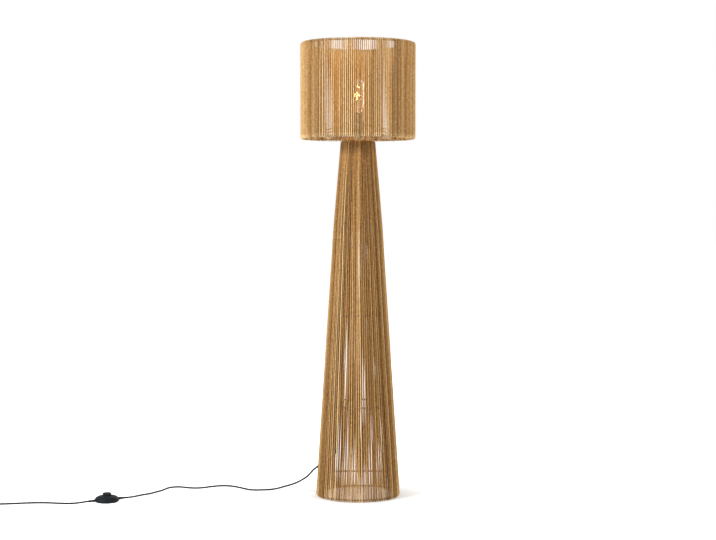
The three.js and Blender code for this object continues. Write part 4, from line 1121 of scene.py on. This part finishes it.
# %% Plug body
half_thickness = 10 * MM
plug_place = Matrix.Translation((plug_start.x - touch_gap, plug_start.y, plug_middle_height)) \
    @ Matrix.Rotation(math.pi, 4, "Z")
half_outline = mm((18, 5), (21, 9), (24, 13.4), (28, 16.6), (33, 17.5), (39, 16.6), (45, 16.8),
                  (49.5, 16.9), (53, 15.5), (54, 12))
plug_front = half_outline[-1][0]
bm = bmesh.new()
rim = [bm.verts.new((x, -y, -half_thickness)) for x, y in half_outline]
rim += [bm.verts.new((x, y, -half_thickness)) for x, y in reversed(half_outline)]
draw_out(bm, bmesh.ops.extrude_face_region(bm, geom=[bm.faces.new(rim)]),
         (0, 0, 2 * half_thickness))
bmesh.ops.recalc_face_normals(bm, faces=bm.faces)
bevel(bm, [e for e in bm.edges if abs(e.verts[0].co.z - e.verts[1].co.z) < 1e-6], 3.5 * MM, 5,
      clamp=True)
mesh_piece("plug_moulding", bm, "black_plastic", "lamp", "plug_body", place=plug_place)

# %% Plug neck and pins
neck_outline = [(0, 0), (sleeve_bore, 0), (sleeve_bore, -sleeve_lip), (3.2 * MM, -sleeve_lip),
                *mm((3.5, -0.6), (3.7, 0.4)),
                *grooves(3.7 * MM, 4.9 * MM, 1 * MM, 17 * MM, 6, 0.8 * MM),
                *mm((5.2, 24), (0, 24))]
turned("plug_neck", neck_outline, "black_rubber", "lamp", segments=32,
       place=plug_place @ along_x)
pin_outline = mm((0, -8), (2, -8), (2, 17.2), (1.8, 18.2), (1.2, 18.8), (0, 19))
sleeve_outline = mm((2.01, 0), (2.1, 0), (2.1, 9.6), (2.01, 9.8))
for k, y in enumerate((-9.5 * MM, 9.5 * MM)):
    place = plug_place @ Matrix.Translation((plug_front, y, 0)) @ along_x
    turned(f"pin_{k + 1}", pin_outline, "plated_brass", "lamp", f"plug_pin_{k + 1}",
           segments=24, place=place)
    turned(f"pin_sleeve_{k + 1}", sleeve_outline, "black_plastic", "lamp", segments=24,
           place=place)

# %% [markdown]
# A strap holds the coil together. It starts as a rectangle whose corners are rounded, gets
# its width by drawing it out, and then its thickness.

# %% Coil tie
strap_low, strap_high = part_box("coil_tie")
strap_wall = 0.8 * MM
bm = bmesh.new()
corners = [bm.verts.new((strap_low[0], y, z)) for y, z in (
    (strap_low[1], strap_low[2]), (strap_high[1], strap_low[2]),
    (strap_high[1], strap_high[2]), (strap_low[1], strap_high[2]))]
loop = [bm.edges.new(pair) for pair in zip(corners, corners[1:] + corners[:1])]
draw_out(bm, bmesh.ops.extrude_edge_only(bm, edges=loop), (strap_high[0] - strap_low[0], 0, 0))
bevel(bm, [e for e in bm.edges if len(e.link_faces) == 2], 2 * MM, 5)
bmesh.ops.recalc_face_normals(bm, faces=bm.faces)
bmesh.ops.solidify(bm, geom=bm.faces, thickness=strap_wall)
print("strap is", [round(high - low, 4) for low, high in zip(strap_low, strap_high)], "m")
mesh_piece("coil_strap", bm, "black_plastic", "lamp", "coil_tie")

# %% [markdown]
# The floor and the backdrop are one pale surface. The camera sees it white, because Light
# Path adds plain white for what the camera, a reflection or glass sees. Close to the lamp
# less is added, which paints the floor darker there: a painted shadow inside the open foot
# and round it, on top of the real shadow that stays.

# %% Floor
def seen_rays(tree):
    """One for what the camera, a reflection or glass sees, and else zero."""
    rays = add_node(tree, "ShaderNodeLightPath").outputs
    return do_math(tree, "MAXIMUM", rays["Is Camera Ray"],
                   do_math(tree, "MAXIMUM", rays["Is Glossy Ray"],
                           rays["Is Transmission Ray"]))


floor_bm = bmesh.new()
bmesh.ops.create_grid(floor_bm, x_segments=1, y_segments=1, size=30)
floor = new_object("floor", new_mesh("floor", floor_bm))
floor.location.z = -0.0005
floor_material, tree, shader = new_material(
    "pale floor", Roughness=0.9, Base_Color=(0.8, 0.8, 0.8, 1), Emission_Color=(1, 1, 1, 1))
reach = add_node(tree, "ShaderNodeVectorMath", {0: object_place(tree)},
                 operation="LENGTH").outputs["Value"]
# Less white near the lamp paints a shadow on the floor round and inside the foot.
painted_shade_near_lamp, past_lamp, least_glow = (0.125, 0.3), (0.32, 0.95), 0.1
white_with_painted_shade = map_range(tree, reach, painted_shade_near_lamp[1], past_lamp[1], painted_shade_near_lamp[0], past_lamp[0])
connect(tree, shader.inputs, Emission_Strength=do_math(
    tree, "MAXIMUM", do_math(tree, "MULTIPLY", seen_rays(tree), white_with_painted_shade), least_glow))
floor.data.materials.append(floor_material)

# %% [markdown]
# The world is white to the camera too, but lights the lamp only faintly. Three soft discs
# light it from the left, the right and behind, and a small warm light glows in the bulb.

# %% World
world = bpy.data.worlds.new("studio")
bpy.context.scene.world = world
world.use_nodes = True
tree = world.node_tree
background = tree.nodes["Background"].inputs
background["Color"].default_value = (1, 1, 1, 1)
daylight = 0.2
connect(tree, background, Strength=map_range(tree, seen_rays(tree), daylight, 1))
print("daylight from all round:", daylight)


# %% Lights
def soft_light(name, place, aim, size, power, colour=(1, 1, 1)):
    data = bpy.data.lights.new(name, "AREA")
    data.shape, data.size, data.energy, data.color = "DISK", size, power, colour
    made = new_object(name, data)
    made.location = place
    made.rotation_euler = (Vector(aim) - Vector(place)).to_track_quat("-Z", "Y").to_euler()
    print("light:", name, "has", power, "watts")


soft_light("key", (-3.2, -2.7, 2.4), (0, 0, 0.9), 1.1, 198)
soft_light("fill", (3.2, -2.6, 2.0), (0, 0, 1.0), 1.6, 90, (1.0, 0.93, 0.82))
soft_light("back", (1.2, 4.0, 2.0), (0, 0, 0.7), 1.8, 45)
bulb_light = new_object("bulb_glow", bpy.data.lights.new("bulb_glow", "POINT"))
bulb_light.data.energy, bulb_light.data.color = 1.3, (1.0, 0.7, 0.24)
bulb_light.data.shadow_soft_size = 0.02
bulb_light.location = (0, 0, 1.262)
bulb_light.visible_camera = False
bulb_light.visible_glossy = False
bulb_light.visible_transmission = False
bpy.context.scene.view_settings.view_transform = "Standard"

# %% [markdown]
# Some solids are good as they are: straight bars, struts and small blocks. They only get the
# finish of their slot.

# %% Plain solids that stay
slots = {part["node"]: part["material_slot"] for part in frame["record"]["subparts"]}
for name, node in frame["nodes"].items():
    if not node.hide_render:
        node.data.materials.clear()
        node.data.materials.append(finishes[slots[name]])
        print("stays plain:", name)
